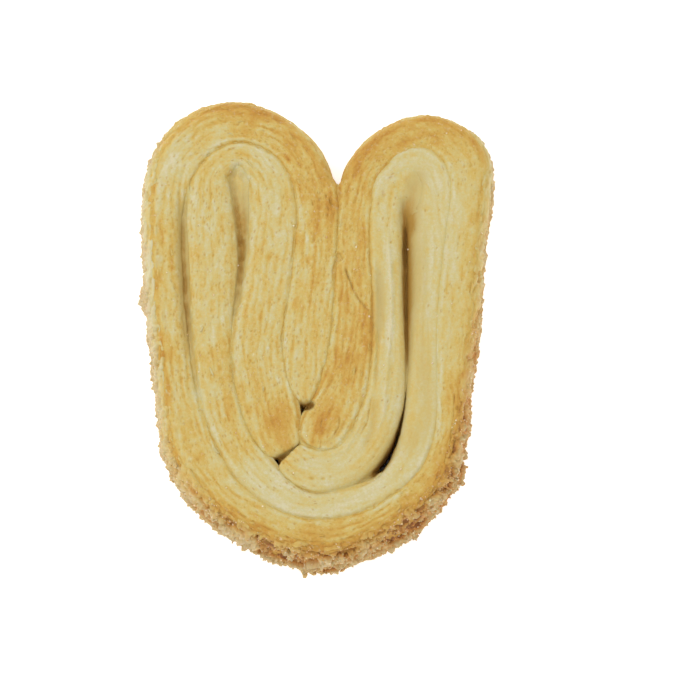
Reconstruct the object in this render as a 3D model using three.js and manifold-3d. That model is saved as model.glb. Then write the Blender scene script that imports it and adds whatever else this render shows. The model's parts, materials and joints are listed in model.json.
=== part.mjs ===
// Palmier: a flat puff pastry. One double sheet of laminated dough, its two ends rolled in towards the middle,
// sliced and baked lying on its cut face. The outer sheet makes the rim and both lobes, and the inner sheet
// lies against it all the way round. Their four ends meet in the middle of the pastry.
// Millimetres. +Z is up from the baking tray, +Y points at the two lobes, and the origin is under the middle.
import * as THREE from "three";
import { mergeVertices } from "three/addons/utils/BufferGeometryUtils.js";
import Module from "manifold-3d";

const THICKNESS = 12; // from the tray to the crown of a sheet
const LENGTH_STEP = 2.75; // mean length of one facet along a sheet
const BEND_FINENESS = 7; // how much closer facets lie in a bend, as a length in mm over the bend's radius
const WALL_ROWS = 3; // facets up a sheet's side
const PLY_PITCH = 1.45; // from one raised layer to the next
const PLY_RELIEF = 0.24; // height of a layer's edge over the slit beside it
const SIDE_BULGE = 0.45; // how far a sheet's side swells between tray and crown
const SEAM_OVERLAP = 0.25; // how far two sheets have grown into each other
const TRAY_EASE = 0.6; // rounding of a sheet's lower edges
const END_SHOULDER = 2.2; // length over which the crown sinks towards a sheet's end
const END_SINK = 1.0; // how far it sinks
const END_FINENESS = 2; // how many more facets there are by an end
// The ends seen from above: the length over which a sheet narrows, and what is left of its width at the very end.
const TORN_END = { length: 1.0, width: 0.9 };
const ROLLED_END = { length: 3.6, width: 0.3 };
const CUT_END = { length: 0.9, width: 0.8 };
const RIM_RIPPLE = 0.28; // roughness of the sugared rim
const FOLD_CLEARANCE = 0.92; // share of a bend's radius that a sheet may fill on the inside

// A sheet's stations: x, y, width, then how far its left and its right edge fall below the crown, going along it.
// On the outer sheet the left edge is the seam with the inner sheet, and the right edge the rim.
const OUTER_SHEET = [
  [-1.9, -14.2, 1.9, 1.5, 1.5], // torn end, in the middle
  [-2.4, -11.0, 5.6, 1.2, 1.0],
  [-1.9, -3.4, 8.8, 1.8, 0.8],
  [-0.5, 10.8, 8.0, 1.4, 0.8],
  [0.1, 23.3, 7.8, 1.0, 1.2],
  [-2.4, 32.2, 7.7, 0.9, 2.5], // left lobe
  [-7.8, 37.4, 8.0, 0.9, 3.2],
  [-14.8, 39.7, 8.9, 0.9, 3.5],
  [-21.9, 37.6, 9.6, 1.2, 3.5],
  [-26.9, 31.3, 9.2, 1.2, 3.0],
  [-28.7, 22.3, 7.6, 1.5, 2.8], // left flank
  [-28.2, 8.9, 7.1, 2.0, 2.8],
  [-26.9, -4.3, 7.1, 2.0, 2.8],
  [-25.3, -14.0, 7.7, 1.4, 3.0],
  [-23.1, -22.5, 9.2, 1.0, 3.8], // bowl
  [-18.4, -30.3, 8.6, 0.8, 5.0],
  [-11.1, -36.1, 7.7, 0.8, 6.0],
  [-4.2, -39.0, 7.7, 0.8, 6.5],
  [2.4, -39.7, 8.3, 0.8, 6.5],
  [9.4, -37.6, 7.3, 0.7, 6.5],
  [17.2, -33.1, 7.2, 0.5, 6.0],
  [22.2, -27.4, 6.6, 0.4, 5.0],
  [24.6, -19.9, 6.0, 0.3, 4.0], // right flank
  [25.3, -10.8, 6.5, 0.3, 3.6],
  [26.4, 3.3, 8.0, 0.3, 3.4],
  [27.6, 16.6, 7.5, 0.4, 3.2],
  [28.7, 25.2, 7.6, 0.6, 3.2], // right lobe
  [27.8, 33.3, 8.9, 0.9, 3.4],
  [21.3, 37.8, 7.6, 1.1, 3.6],
  [13.6, 35.6, 7.0, 1.3, 3.2],
  [8.4, 29.9, 6.5, 1.4, 2.6],
  [7.0, 22.0, 6.0, 1.5, 1.4],
  [6.6, 1.3, 7.6, 1.6, 0.8],
  [5.6, -7.7, 8.6, 0.9, 0.8],
  [4.0, -14.0, 8.6, 0.9, 0.9],
  [1.4, -19.2, 8.6, 1.0, 1.0],
  [0.5, -22.7, 8.2, 1.2, 1.2], // rolled end
];

// On the inner sheet the left edge faces the slots, and the right edge is the seam with the outer sheet.
const INNER_SHEET = [
  [-5.6, -23.2, 6.6, 1.3, 1.3], // cut end
  [-7.2, -20.0, 8.6, 1.2, 1.0],
  [-8.8, -14.6, 10.2, 1.3, 1.0],
  [-10.8, -4.3, 9.0, 1.2, 1.8],
  [-9.5, 7.0, 8.9, 1.2, 1.4],
  [-8.5, 16.6, 9.0, 1.5, 1.0],
  [-8.4, 24.7, 8.7, 1.6, 0.9],
  [-10.1, 30.0, 7.1, 1.2, 0.9], // fold of the left lobe
  [-14.7, 33.0, 4.5, 1.0, 0.9],
  [-18.9, 30.1, 5.7, 1.2, 1.1],
  [-19.9, 24.3, 8.2, 1.5, 1.6],
  [-19.2, 13.7, 9.2, 1.5, 1.8],
  [-19.1, 0.4, 7.5, 1.3, 1.6],
  [-17.9, -12.9, 7.1, 1.2, 1.0],
  [-15.1, -20.9, 6.5, 1.2, 0.8],
  [-11.7, -26.1, 7.0, 1.1, 0.7], // bowl
  [-7.0, -30.6, 5.9, 1.0, 0.7],
  [-1.1, -33.2, 4.7, 0.9, 0.7],
  [5.8, -32.6, 4.6, 1.0, 0.7],
  [12.1, -29.8, 4.1, 1.0, 0.5],
  [16.7, -24.8, 5.5, 1.2, 0.4],
  [18.8, -18.1, 6.0, 1.2, 0.3],
  [19.3, -9.9, 5.5, 1.2, 0.3], // right flank
  [19.7, 5.1, 5.7, 2.2, 0.3],
  [20.4, 17.5, 7.0, 2.4, 0.4],
  [20.5, 23.8, 8.7, 2.2, 0.6], // fold of the right lobe
  [20.2, 26.8, 9.8, 2.0, 0.7],
  [18.5, 28.9, 11.1, 1.8, 0.9],
  [15.8, 27.8, 8.1, 1.6, 0.9],
  [13.9, 26.1, 6.7, 1.5, 1.0],
  [13.1, 22.6, 6.1, 1.4, 1.1],
  [12.9, 14.7, 6.0, 1.2, 1.3],
  [13.2, 3.2, 5.6, 1.0, 1.6],
  [13.3, -5.2, 6.1, 0.9, 0.9],
  [12.5, -13.6, 7.3, 1.0, 0.9],
  [9.8, -20.6, 7.7, 1.4, 1.0],
  [5.6, -25.5, 7.8, 1.2, 1.2],
  [0.6, -26.8, 8.2, 1.0, 1.2],
  [-2.7, -25.8, 7.6, 1.1, 1.1],
  [-4.9, -23.8, 6.4, 1.3, 1.3], // cut end, facing the other
];

// Where neighbouring sheets have grown together below the crown: x, y, width, then the bridge's own height.
const BRIDGES = {
  left_groove: [
    [-24.3, 27.2, 2.2, 10.8],
    [-24.3, 16.2, 2.6, 10.4],
    [-23.9, 3.2, 2.6, 10.3],
    [-23.2, -8.8, 2.2, 10.6],
  ],
  left_slot: [
    [-14.9, 31.4, 4.4, 8.8],
    [-14.4, 28.6, 3.4, 8.2],
    [-13.9, 24.2, 3.2, 7.6],
    [-13.9, 15.2, 3.0, 7.0],
    [-14.9, 3.2, 3.0, 7.8],
  ],
  cut_ends: [
    [-3.4, -21.6, 2.0, 10.0],
    [-4.7, -23.1, 2.4, 9.2],
    [-6.6, -24.7, 2.2, 8.2],
  ],
  right_slot: [
    [17.1, 24.2, 3.0, 8.2],
    [16.3, 17.2, 2.8, 6.6],
    [16.4, 5.2, 2.8, 6.2],
    [16.7, -3.8, 2.6, 7.6],
  ],
};

// Crags of crust on the rim: where each stands, its reach and its half length.
const CRAGS = [
  { x: -32.1, y: 6.3, reach: 1.6, half: 2.9 },
  { x: -31.5, y: -1.4, reach: 0.7, half: 2.4 },
  { x: -31.3, y: 32.7, reach: 0.5, half: 2.5 },
  { x: 21.1, y: 41.6, reach: 0.7, half: 3.0 },
  { x: 32.5, y: 26.2, reach: 0.4, half: 4.0 },
  { x: 26.1, y: -27.1, reach: 0.6, half: 2.5 },
  { x: -27.9, y: -21.3, reach: 0.5, half: 2.0 },
];

// A split that crosses the outer sheet where it leaves the right lobe: its ends, width and depth.
const SPLIT = { from: [4.2, 13.4], to: [9.3, 3.8], width: 0.7, depth: 2.4 };

const lerp = THREE.MathUtils.lerp;
const smooth = THREE.MathUtils.smoothstep;

// The route through a list of stations: a curve in x, y and width, and the numbers that go with it, by share of length.
function routeOf(stations) {
  const curve = new THREE.CatmullRomCurve3(stations.map(([x, y, width]) => new THREE.Vector3(x, y, width)));
  curve.arcLengthDivisions = 1200;
  const flat = (share) => {
    const p = curve.getPointAt(THREE.MathUtils.clamp(share, 0, 1));
    return new THREE.Vector2(p.x, p.y);
  };
  const length = curve.getLength();
  const at = (share) => {
    const point = curve.getPointAt(share);
    const along = curve.getUtoTmapping(share) * (stations.length - 1);
    const before = Math.min(Math.floor(along), stations.length - 2);
    const extra = stations[before].slice(3).map((v, i) => lerp(v, stations[before + 1][3 + i], along - before));
    const reach = 0.5 / length;
    const ahead = flat(share + reach);
    const behind = flat(share - reach);
    const tangent = ahead.clone().sub(behind).normalize();
    return { point, width: Math.max(point.z, 0.4), extra, tangent, left: new THREE.Vector2(-tangent.y, tangent.x) };
  };
  return { at, length };
}

// Radius of the bend at a share of the route, positive where it turns left.
function bendAt(route, share) {
  const reach = 1.5 / route.length;
  const before = route.at(Math.max(share - reach, 0)).tangent;
  const after = route.at(Math.min(share + reach, 1)).tangent;
  const turn = before.x * after.y - before.y * after.x;
  return Math.abs(turn) < 1e-3 ? Infinity : 3 / turn;
}

// The shares of a route where its facets meet, which crowd together in the bends.
function facetShares(route, count) {
  const samples = 500;
  const sums = [0];
  for (let i = 0; i < samples; i++) {
    const share = (i + 0.5) / samples;
    const bend = Math.max(Math.abs(bendAt(route, share)), 2);
    const toEnd = Math.min(share, 1 - share) * route.length;
    sums.push(sums[i] + 1 + BEND_FINENESS / bend + END_FINENESS * Math.max(1 - toEnd / 5, 0));
  }
  return Array.from({ length: count + 1 }, (_, i) => {
    const wanted = (i / count) * sums[samples];
    const after = THREE.MathUtils.clamp(sums.findIndex((sum) => sum >= wanted), 1, samples);
    return (after - 1 + (wanted - sums[after - 1]) / (sums[after] - sums[after - 1])) / samples;
  });
}

// A box of the given facets, bent by place(across, along, up) with across from -1 to 1 and the others from 0 to 1.
function bentBox(facetsAcross, facetsAlong, facetsUp, place) {
  const geometry = new THREE.BoxGeometry(1, 1, 1, facetsAcross, facetsAlong, facetsUp);
  geometry.deleteAttribute("normal");
  geometry.deleteAttribute("uv");
  const position = geometry.attributes.position;
  for (let i = 0; i < position.count; i++) {
    const p = place(-2 * position.getX(i), position.getY(i) + 0.5, position.getZ(i) + 0.5);
    position.setXYZ(i, p.x, p.y, p.z);
  }
  return mergeVertices(geometry, 1e-4);
}

// How far the surface falls from the crown towards an edge. A deep fall starts further in.
const fall = (across, drop) => drop * Math.pow(Math.abs(across), Math.max(5 - drop / 2, 2));

// The raised edges of the layers, which fade and come back as they go along.
function plies(column, facets, distance) {
  const swell = 0.6 + 0.4 * Math.sin(distance / 4.1 + column * 2.1) * Math.sin(distance / 9.7 + column * 1.3);
  return column === 0 || column === facets ? 0 : (column % 2 ? PLY_RELIEF : -PLY_RELIEF) * swell;
}

// Roughness of the sugared rim at a point on it, with the crags.
function rimReach(x, y, distance, up) {
  const ripple = Math.sin(distance * 0.83 + up * 2.3) + 0.6 * Math.sin(distance * 1.91 + 1.2) * Math.cos(up * 4);
  const crags = CRAGS.map((crag) => {
    const away = Math.hypot(x - crag.x, y - crag.y) / crag.half;
    return crag.reach * Math.max(1 - away, 0) * Math.sin(Math.PI * Math.min(up + 0.15, 1));
  });
  return crags.reduce((sum, crag) => sum + crag, RIM_RIPPLE * ripple);
}

// How far an end has closed in at some distance from it, from 0 at the tip to 1.
const rounding = (distance, radius) => Math.sqrt(1 - Math.pow(1 - Math.min(distance / radius, 1), 2));

const narrowing = (distance, end) => lerp(end.width, 1, rounding(distance, end.length));

// One sheet of dough, standing on edge on the tray and bent along its route.
function sheet(stations, facetsAcross, isOuter, startEnd, finishEnd) {
  const route = routeOf(stations);
  const facetsAlong = Math.round(route.length / LENGTH_STEP);
  const shares = facetShares(route, facetsAlong);
  return bentBox(facetsAcross, facetsAlong, WALL_ROWS, (across, along, up) => {
    const share = shares[Math.round(along * facetsAlong)];
    const column = Math.round(((across + 1) / 2) * facetsAcross);
    const { point, width, extra, left } = route.at(share);
    const distance = share * route.length;
    const toFinish = route.length - distance;
    const [leftDrop, rightDrop] = extra;
    const sink = END_SINK * (1 - rounding(Math.min(distance, toFinish), END_SHOULDER));
    const swell = 0.35 * Math.sin(distance / 17 + (isOuter ? 0 : 2));
    const crown = THICKNESS + swell - sink - fall(across, across > 0 ? leftDrop : rightDrop);
    const bend = bendAt(route, share);
    const inside = Math.sign(across) === Math.sign(bend);
    const seamSide = isOuter ? across > 0 : across < 0;
    const half = width / 2 + SIDE_BULGE * Math.sin(Math.PI * up) + (seamSide ? SEAM_OVERLAP : 0);
    const closing = narrowing(distance, startEnd) * narrowing(toFinish, finishEnd);
    const reach = (inside ? Math.min(half, FOLD_CLEARANCE * Math.abs(bend)) : half) * closing;
    const rim = isOuter && across < 0 ? smooth(rightDrop, 1.4, 2.6) * Math.pow(across, 6) : 0;
    const edge = point.clone().addScaledVector(new THREE.Vector3(left.x, left.y, 0), -width / 2);
    const offset = across * reach - (rim > 0 ? rim * rimReach(edge.x, edge.y, distance, up) : 0);
    const lowest = -TRAY_EASE + 2 * TRAY_EASE * Math.pow(Math.abs(across), 6);
    const relief = up === 1 ? plies(column, facetsAcross, distance) : 0;
    return new THREE.Vector3(
      point.x + left.x * offset,
      point.y + left.y * offset,
      lerp(lowest, crown, up) + relief,
    );
  });
}

// A low bridge of crumb between two sheets.
function bridge(stations) {
  const route = routeOf(stations);
  return bentBox(2, Math.round(route.length / LENGTH_STEP), 1, (across, share, up) => {
    const { point, width, extra, left } = route.at(share);
    const offset = (across * width) / 2;
    const top = extra[0] - 0.5 * Math.abs(across);
    return new THREE.Vector3(point.x + left.x * offset, point.y + left.y * offset, lerp(-TRAY_EASE, top, up));
  });
}

// The blade that opens the split in the outer sheet: a long diamond, sunk into the crown.
function splitBlade({ from, to, width, depth }) {
  const start = new THREE.Vector2(...from);
  const run = new THREE.Vector2(...to).sub(start);
  const side = new THREE.Vector2(-run.y, run.x).normalize();
  return bentBox(2, 6, 2, (across, share, up) => {
    const spread = (across * width * Math.sin(Math.PI * share) * (0.25 + up)) / 2 + across * 0.02;
    const p = start.clone().addScaledVector(run, share).addScaledVector(side, spread);
    return new THREE.Vector3(p.x, p.y, THICKNESS - depth + up * (depth + 2));
  });
}

// What lies below the tray's surface, which flattens the pastry's underside.
function tray() {
  return new THREE.BoxGeometry(120, 140, 10).translate(0, 0, -5);
}

const wasm = await Module();
wasm.setup();

function solidOf(geometry) {
  const bare = geometry.clone();
  bare.deleteAttribute("normal");
  bare.deleteAttribute("uv");
  const merged = mergeVertices(bare, 1e-4);
  return new wasm.Manifold(
    new wasm.Mesh({
      numProp: 3,
      vertProperties: merged.attributes.position.array,
      triVerts: new Uint32Array(merged.index.array),
    }),
  );
}

function geometryOf(solid) {
  const { vertProperties, triVerts } = solid.getMesh();
  return new THREE.BufferGeometry()
    .setAttribute("position", new THREE.BufferAttribute(vertProperties, 3))
    .setIndex(new THREE.BufferAttribute(triVerts, 1));
}

const facetsAcross = (width) => 2 * Math.round(width / PLY_PITCH);
let pastry = solidOf(sheet(OUTER_SHEET, facetsAcross(8.5), true, TORN_END, ROLLED_END));
pastry = pastry.add(solidOf(sheet(INNER_SHEET, facetsAcross(7), false, CUT_END, CUT_END)));
for (const stations of Object.values(BRIDGES)) pastry = pastry.add(solidOf(bridge(stations)));
pastry = pastry.subtract(solidOf(splitBlade(SPLIT)));
pastry = pastry.subtract(solidOf(tray()));

const shape = geometryOf(pastry);
shape.computeBoundingBox();
const middle = shape.boundingBox.getCenter(new THREE.Vector3());
shape.translate(-middle.x, -middle.y, -shape.boundingBox.min.z);
shape.computeVertexNormals();

const baked = new THREE.MeshStandardMaterial({ color: 0xd3b87a, roughness: 0.8, flatShading: true });
const palmier = new THREE.Mesh(shape, baked);
palmier.name = "palmier";

const group = new THREE.Group();
group.add(palmier);

export default group;
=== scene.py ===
"""Palmier: a flat puff pastry baked from a double sheet of laminated dough whose two ends are rolled in.

The outer sheet makes the sugared rim and both lobes, and the inner sheet lies against it. Each is swept
along the same stations as its solid, with relief for its layers, pits, splits and creases. A rough crust
covers the rim. Crumb closes the slots and seams between the sheets, and sugar, crumbs and flakes lie on
top. Sizes are in millimetres until a mesh is made. The pastry lies on the floor, with +Z up and +Y
towards the lobes.
"""

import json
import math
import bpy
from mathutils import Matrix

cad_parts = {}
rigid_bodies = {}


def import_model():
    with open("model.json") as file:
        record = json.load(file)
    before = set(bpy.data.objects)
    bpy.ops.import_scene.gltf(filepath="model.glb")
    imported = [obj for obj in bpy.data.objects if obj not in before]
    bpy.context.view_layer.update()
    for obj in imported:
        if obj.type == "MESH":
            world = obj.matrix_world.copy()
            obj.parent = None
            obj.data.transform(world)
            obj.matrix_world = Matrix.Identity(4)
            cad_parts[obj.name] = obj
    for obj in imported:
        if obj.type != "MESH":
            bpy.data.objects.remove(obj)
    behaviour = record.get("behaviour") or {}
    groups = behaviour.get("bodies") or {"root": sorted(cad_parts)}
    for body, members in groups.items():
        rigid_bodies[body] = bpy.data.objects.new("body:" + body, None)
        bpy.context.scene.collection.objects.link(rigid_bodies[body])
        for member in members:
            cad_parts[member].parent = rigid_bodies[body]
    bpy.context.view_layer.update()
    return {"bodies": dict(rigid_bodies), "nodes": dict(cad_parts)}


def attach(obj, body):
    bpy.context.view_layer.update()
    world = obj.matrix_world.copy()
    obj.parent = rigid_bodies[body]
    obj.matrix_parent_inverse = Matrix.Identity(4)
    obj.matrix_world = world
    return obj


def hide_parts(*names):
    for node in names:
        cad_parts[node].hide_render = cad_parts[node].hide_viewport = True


bl_info = {
    "name": "Palmier pastry",
    "version": (1, 0, 0),
    "blender": (4, 5, 0),
    "location": "3D View > Sidebar > Pastry",
    "description": "Builds a baked palmier with its layers, crust, sugar and flakes",
    "category": "Add Mesh",
}

import bmesh
import bpy
import numpy as np
from bpy.props import FloatProperty, FloatVectorProperty, IntProperty, PointerProperty
from mathutils import Vector

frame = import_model()
BODY = next(iter(frame["bodies"]))
NODE = next(iter(frame["nodes"]))

MM = 0.001

# The solid is centred on its own box, which lies this far from the point that the stations count from.
BOX_MIDDLE = (0.11, -0.16)

# A sheet's stations, in order along it: x, y, width, then how far its left and its right edge fall below
# the crown.
OUTER_SHEET = [
    (-1.9, -14.2, 1.9, 1.5, 1.5),
    (-2.4, -11.0, 5.6, 1.2, 1.0),
    (-1.9, -3.4, 8.8, 1.8, 0.8),
    (-0.5, 10.8, 8.0, 1.4, 0.8),
    (0.1, 23.3, 7.8, 1.0, 1.2),
    (-2.4, 32.2, 7.7, 0.9, 2.5),
    (-7.8, 37.4, 8.0, 0.9, 3.2),
    (-14.8, 39.7, 8.9, 0.9, 3.5),
    (-21.9, 37.6, 9.6, 1.2, 3.5),
    (-26.9, 31.3, 9.2, 0.9, 3.0),
    (-28.7, 22.3, 7.6, 1.4, 2.8),
    (-28.2, 8.9, 7.1, 1.5, 2.8),
    (-26.9, -4.3, 7.1, 1.2, 2.8),
    (-25.3, -14.0, 7.7, 0.8, 3.0),
    (-23.1, -22.5, 9.2, 1.0, 3.8),
    (-18.4, -30.3, 8.6, 0.8, 5.0),
    (-11.1, -36.1, 7.7, 0.8, 6.0),
    (-4.2, -39.0, 7.7, 0.8, 6.5),
    (2.4, -39.7, 8.3, 0.8, 6.5),
    (9.4, -37.6, 7.3, 0.7, 6.5),
    (17.2, -33.1, 7.2, 0.5, 6.0),
    (22.2, -27.4, 6.6, 0.4, 5.0),
    (24.6, -19.9, 6.0, 0.3, 4.0),
    (25.3, -10.8, 6.5, 0.3, 3.6),
    (26.4, 3.3, 8.0, 0.3, 3.4),
    (27.6, 16.6, 7.5, 0.4, 3.2),
    (28.7, 25.2, 7.6, 0.6, 3.2),
    (27.8, 33.3, 8.9, 0.9, 3.4),
    (21.3, 37.8, 7.6, 1.1, 3.6),
    (13.6, 35.6, 7.0, 1.3, 3.2),
    (8.4, 29.9, 6.5, 1.4, 2.6),
    (7.0, 22.0, 6.0, 1.5, 1.4),
    (6.6, 1.3, 7.6, 1.6, 0.8),
    (5.6, -7.7, 8.6, 0.9, 0.8),
    (4.0, -14.0, 8.6, 0.9, 0.9),
    (1.4, -19.2, 8.6, 1.0, 1.0),
    (0.5, -22.7, 8.2, 1.2, 1.2),
]
INNER_SHEET = [
    (-5.6, -23.2, 6.6, 1.3, 1.3),
    (-7.2, -20.0, 8.6, 1.2, 1.0),
    (-8.8, -14.6, 10.2, 1.3, 1.0),
    (-10.8, -4.3, 9.0, 1.6, 1.2),
    (-9.5, 7.0, 8.9, 1.2, 1.2),
    (-8.5, 16.6, 9.0, 1.3, 1.0),
    (-8.4, 24.7, 8.7, 1.2, 0.9),
    (-10.1, 30.0, 7.1, 1.2, 0.9),
    (-14.7, 33.0, 4.5, 1.0, 0.9),
    (-18.9, 30.1, 5.7, 1.2, 1.1),
    (-19.9, 24.3, 8.2, 1.1, 0.6),
    (-19.2, 13.7, 9.2, 1.1, 0.6),
    (-19.1, 0.4, 7.5, 1.0, 0.6),
    (-17.9, -12.9, 7.1, 1.2, 1.0),
    (-15.1, -20.9, 6.5, 1.2, 0.8),
    (-11.7, -26.1, 7.0, 1.1, 0.7),
    (-7.0, -30.6, 5.9, 1.0, 0.7),
    (-1.1, -33.2, 4.7, 0.9, 0.7),
    (5.8, -32.6, 4.6, 1.0, 0.7),
    (12.1, -29.8, 4.1, 1.0, 0.5),
    (16.7, -24.8, 5.5, 1.2, 0.4),
    (18.8, -18.1, 6.0, 1.2, 0.3),
    (19.3, -9.9, 5.5, 1.4, 0.3),
    (19.7, 5.1, 5.7, 3.0, 0.3),
    (20.4, 17.5, 7.0, 2.6, 0.4),
    (20.5, 23.8, 8.7, 1.5, 0.6),
    (20.2, 26.8, 9.8, 0.9, 0.7),
    (18.5, 28.9, 11.0, 0.6, 0.9),
    (15.8, 27.8, 8.1, 0.6, 0.9),
    (13.9, 26.1, 6.7, 0.7, 1.0),
    (13.1, 22.6, 6.1, 0.9, 1.1),
    (12.9, 14.7, 6.0, 1.2, 1.3),
    (13.2, 3.2, 5.6, 1.0, 1.6),
    (13.2, -5.2, 6.1, 0.9, 0.9),
    (12.5, -13.6, 7.3, 1.0, 0.9),
    (9.8, -20.6, 7.7, 1.4, 1.0),
    (5.6, -25.5, 7.8, 1.2, 1.2),
    (0.6, -26.8, 8.2, 1.0, 1.2),
    (-2.7, -25.8, 7.6, 1.1, 1.1),
    (-4.9, -23.8, 6.4, 1.3, 1.3),
]

# How brown each sheet is baked, from 0 for cream to 1 for brown: the station, then the left edge, the
# middle and the right edge of the sheet there, and how calm its crumb is, from 0 for open layers to 1 for
# smooth.
OUTER_BAKE = [
    (0, 0.3, 0.3, 0.3, 0.3),
    (2, 0.5, 0.35, 0.5, 0.3),
    (3, 0.35, 0.55, 0.45, 0.1),
    (4, 0.5, 0.75, 0.85, 0.0),
    (6, 0.5, 0.6, 0.75, 0.0),
    (7, 0.4, 0.7, 0.85, 0.1),
    (9, 0.15, 0.15, 0.2, 0.4),
    (10, 0.25, 0.25, 0.15, 0.2),
    (12, 0.45, 0.35, 0.25, 0.0),
    (14, 0.3, 0.42, 0.55, 0.2),
    (16, 0.25, 0.65, 1.0, 0.3),
    (18, 0.35, 0.72, 1.1, 0.2),
    (21, 0.4, 0.8, 1.15, 0.2),
    (23, 0.25, 0.65, 1.05, 0.4),
    (24, 0.05, 0.25, 0.5, 0.6),
    (26, 0.12, 0.3, 0.5, 0.5),
    (28, 0.55, 0.82, 0.75, 0.2),
    (30, 0.65, 0.85, 0.8, 0.1),
    (32, 0.75, 0.65, 0.5, 0.1),
    (34, 0.45, 0.75, 0.7, 0.1),
    (36, 0.2, 0.35, 0.3, 0.5),
]
INNER_BAKE = [
    (0, 0.4, 0.5, 0.4, 0.4),
    (2, 0.45, 0.6, 0.4, 0.1),
    (4, 0.2, 0.2, 0.25, 0.2),
    (6, 0.15, 0.25, 0.35, 0.3),
    (8, 0.15, 0.25, 0.25, 0.3),
    (11, 0.3, 0.1, 0.3, 0.1),
    (13, 0.45, 0.4, 0.15, 0.1),
    (14, 0.45, 0.55, 0.2, 0.2),
    (16, 0.02, -0.02, 0.03, 0.7),
    (19, 0.04, 0.03, 0.04, 0.9),
    (21, 0.25, 0.25, 0.2, 1.0),
    (24, 0.25, 0.1, 0.1, 0.9),
    (27, 0.35, 0.3, 0.2, 0.6),
    (30, 0.3, 0.2, 0.35, 0.6),
    (32, 0.25, 0.1, 0.4, 0.9),
    (35, 0.2, 0.3, 0.35, 0.9),
    (37, 0.0, -0.1, 0.2, 0.9),
    (39, 0.5, 0.4, 0.35, 0.6),
]

# Browned patches: x, y, half length, half width, the turn of the length from +X in degrees, and how much
# browner.
PATCHES = [
    (-7.2, -17.8, 2.4, 1.8, 70, 0.55),
    (1.2, -17.6, 3.2, 1.7, 65, 0.55),
    (0.8, -19.0, 1.5, 1.1, 65, 0.35),
    (9.2, -1.0, 7.0, 1.6, 85, 0.4),
    (2.4, 22.4, 2.6, 1.6, 90, 0.45),
    (-3.4, 25.6, 3.5, 2.0, 100, 0.2),
    (-28.9, -10.0, 6.0, 1.8, 95, 0.2),
    (-21.0, 26.0, 3.0, 1.5, 90, 0.2),
    (-18.6, 15.0, 5.0, 1.2, 85, 0.25),
]

# Crumb that lies in the shade of a slot: x, y, half length, half width, the turn of the length from +X in
# degrees, and how dark.
SHADED = [
    (18.6, 28.0, 2.8, 1.8, 60, 0.42),
    (17.6, 24.2, 3.2, 1.6, 85, 0.42),
    (18.8, 12.0, 11.0, 1.6, 90, 0.42),
    (19.6, -10.0, 10.0, 2.2, 94, 0.26),
    (17.2, -21.2, 4.5, 2.2, 60, 0.22),
    (11.7, 5.5, 5.0, 0.9, 90, 0.24),
]

# Stretches where the two sheets have baked into one: x, y, half width, half height, and how far.
HEALED = [
    (23.4, 5.0, 4.4, 30.0, 0.8),
    (17.0, 35.0, 8.5, 5.0, 0.75),
    (10.0, 27.0, 3.0, 9.0, 0.5),
]

# Where pits crowd: x, y, reach, and how many more.
PITTED = [
    (2.2, 22.6, 2.2, 0.5),
    (1.5, 27.0, 3.0, 0.3),
    (2.4, -13.0, 3.0, 0.2),
    (-8.0, -12.0, 4.0, 0.2),
    (-4.3, -28.8, 2.0, 0.3),
]

# Single pores: x, y, half length, half width, the turn of the length from +X in degrees, and the depth.
PORES = [
    (2.6, 23.8, 0.85, 0.3, 112, 0.6),
    (1.6, 24.9, 0.35, 0.16, 95, 0.35),
    (0.5, 24.3, 0.5, 0.17, 92, 0.3),
    (-0.8, 23.6, 0.45, 0.15, 95, 0.2),
    (2.1, 22.4, 0.3, 0.18, 120, 0.35),
    (2.0, 21.3, 0.5, 0.18, 90, 0.25),
    (-0.6, 17.0, 0.9, 0.24, 90, 0.16),
    (-0.2, 20.3, 0.5, 0.15, 90, 0.14),
    (10.2, 14.2, 0.14, 0.12, 0, 0.5),
    (-21.2, 31.6, 0.3, 0.2, 60, 0.45),
    (-20.3, 33.0, 0.35, 0.18, 50, 0.35),
    (-23.6, 6.9, 0.7, 0.18, 90, 0.3),
    (13.7, 28.6, 0.4, 0.18, 35, 0.2),
    (12.4, 25.4, 0.7, 0.3, 95, 0.16),
]

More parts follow.
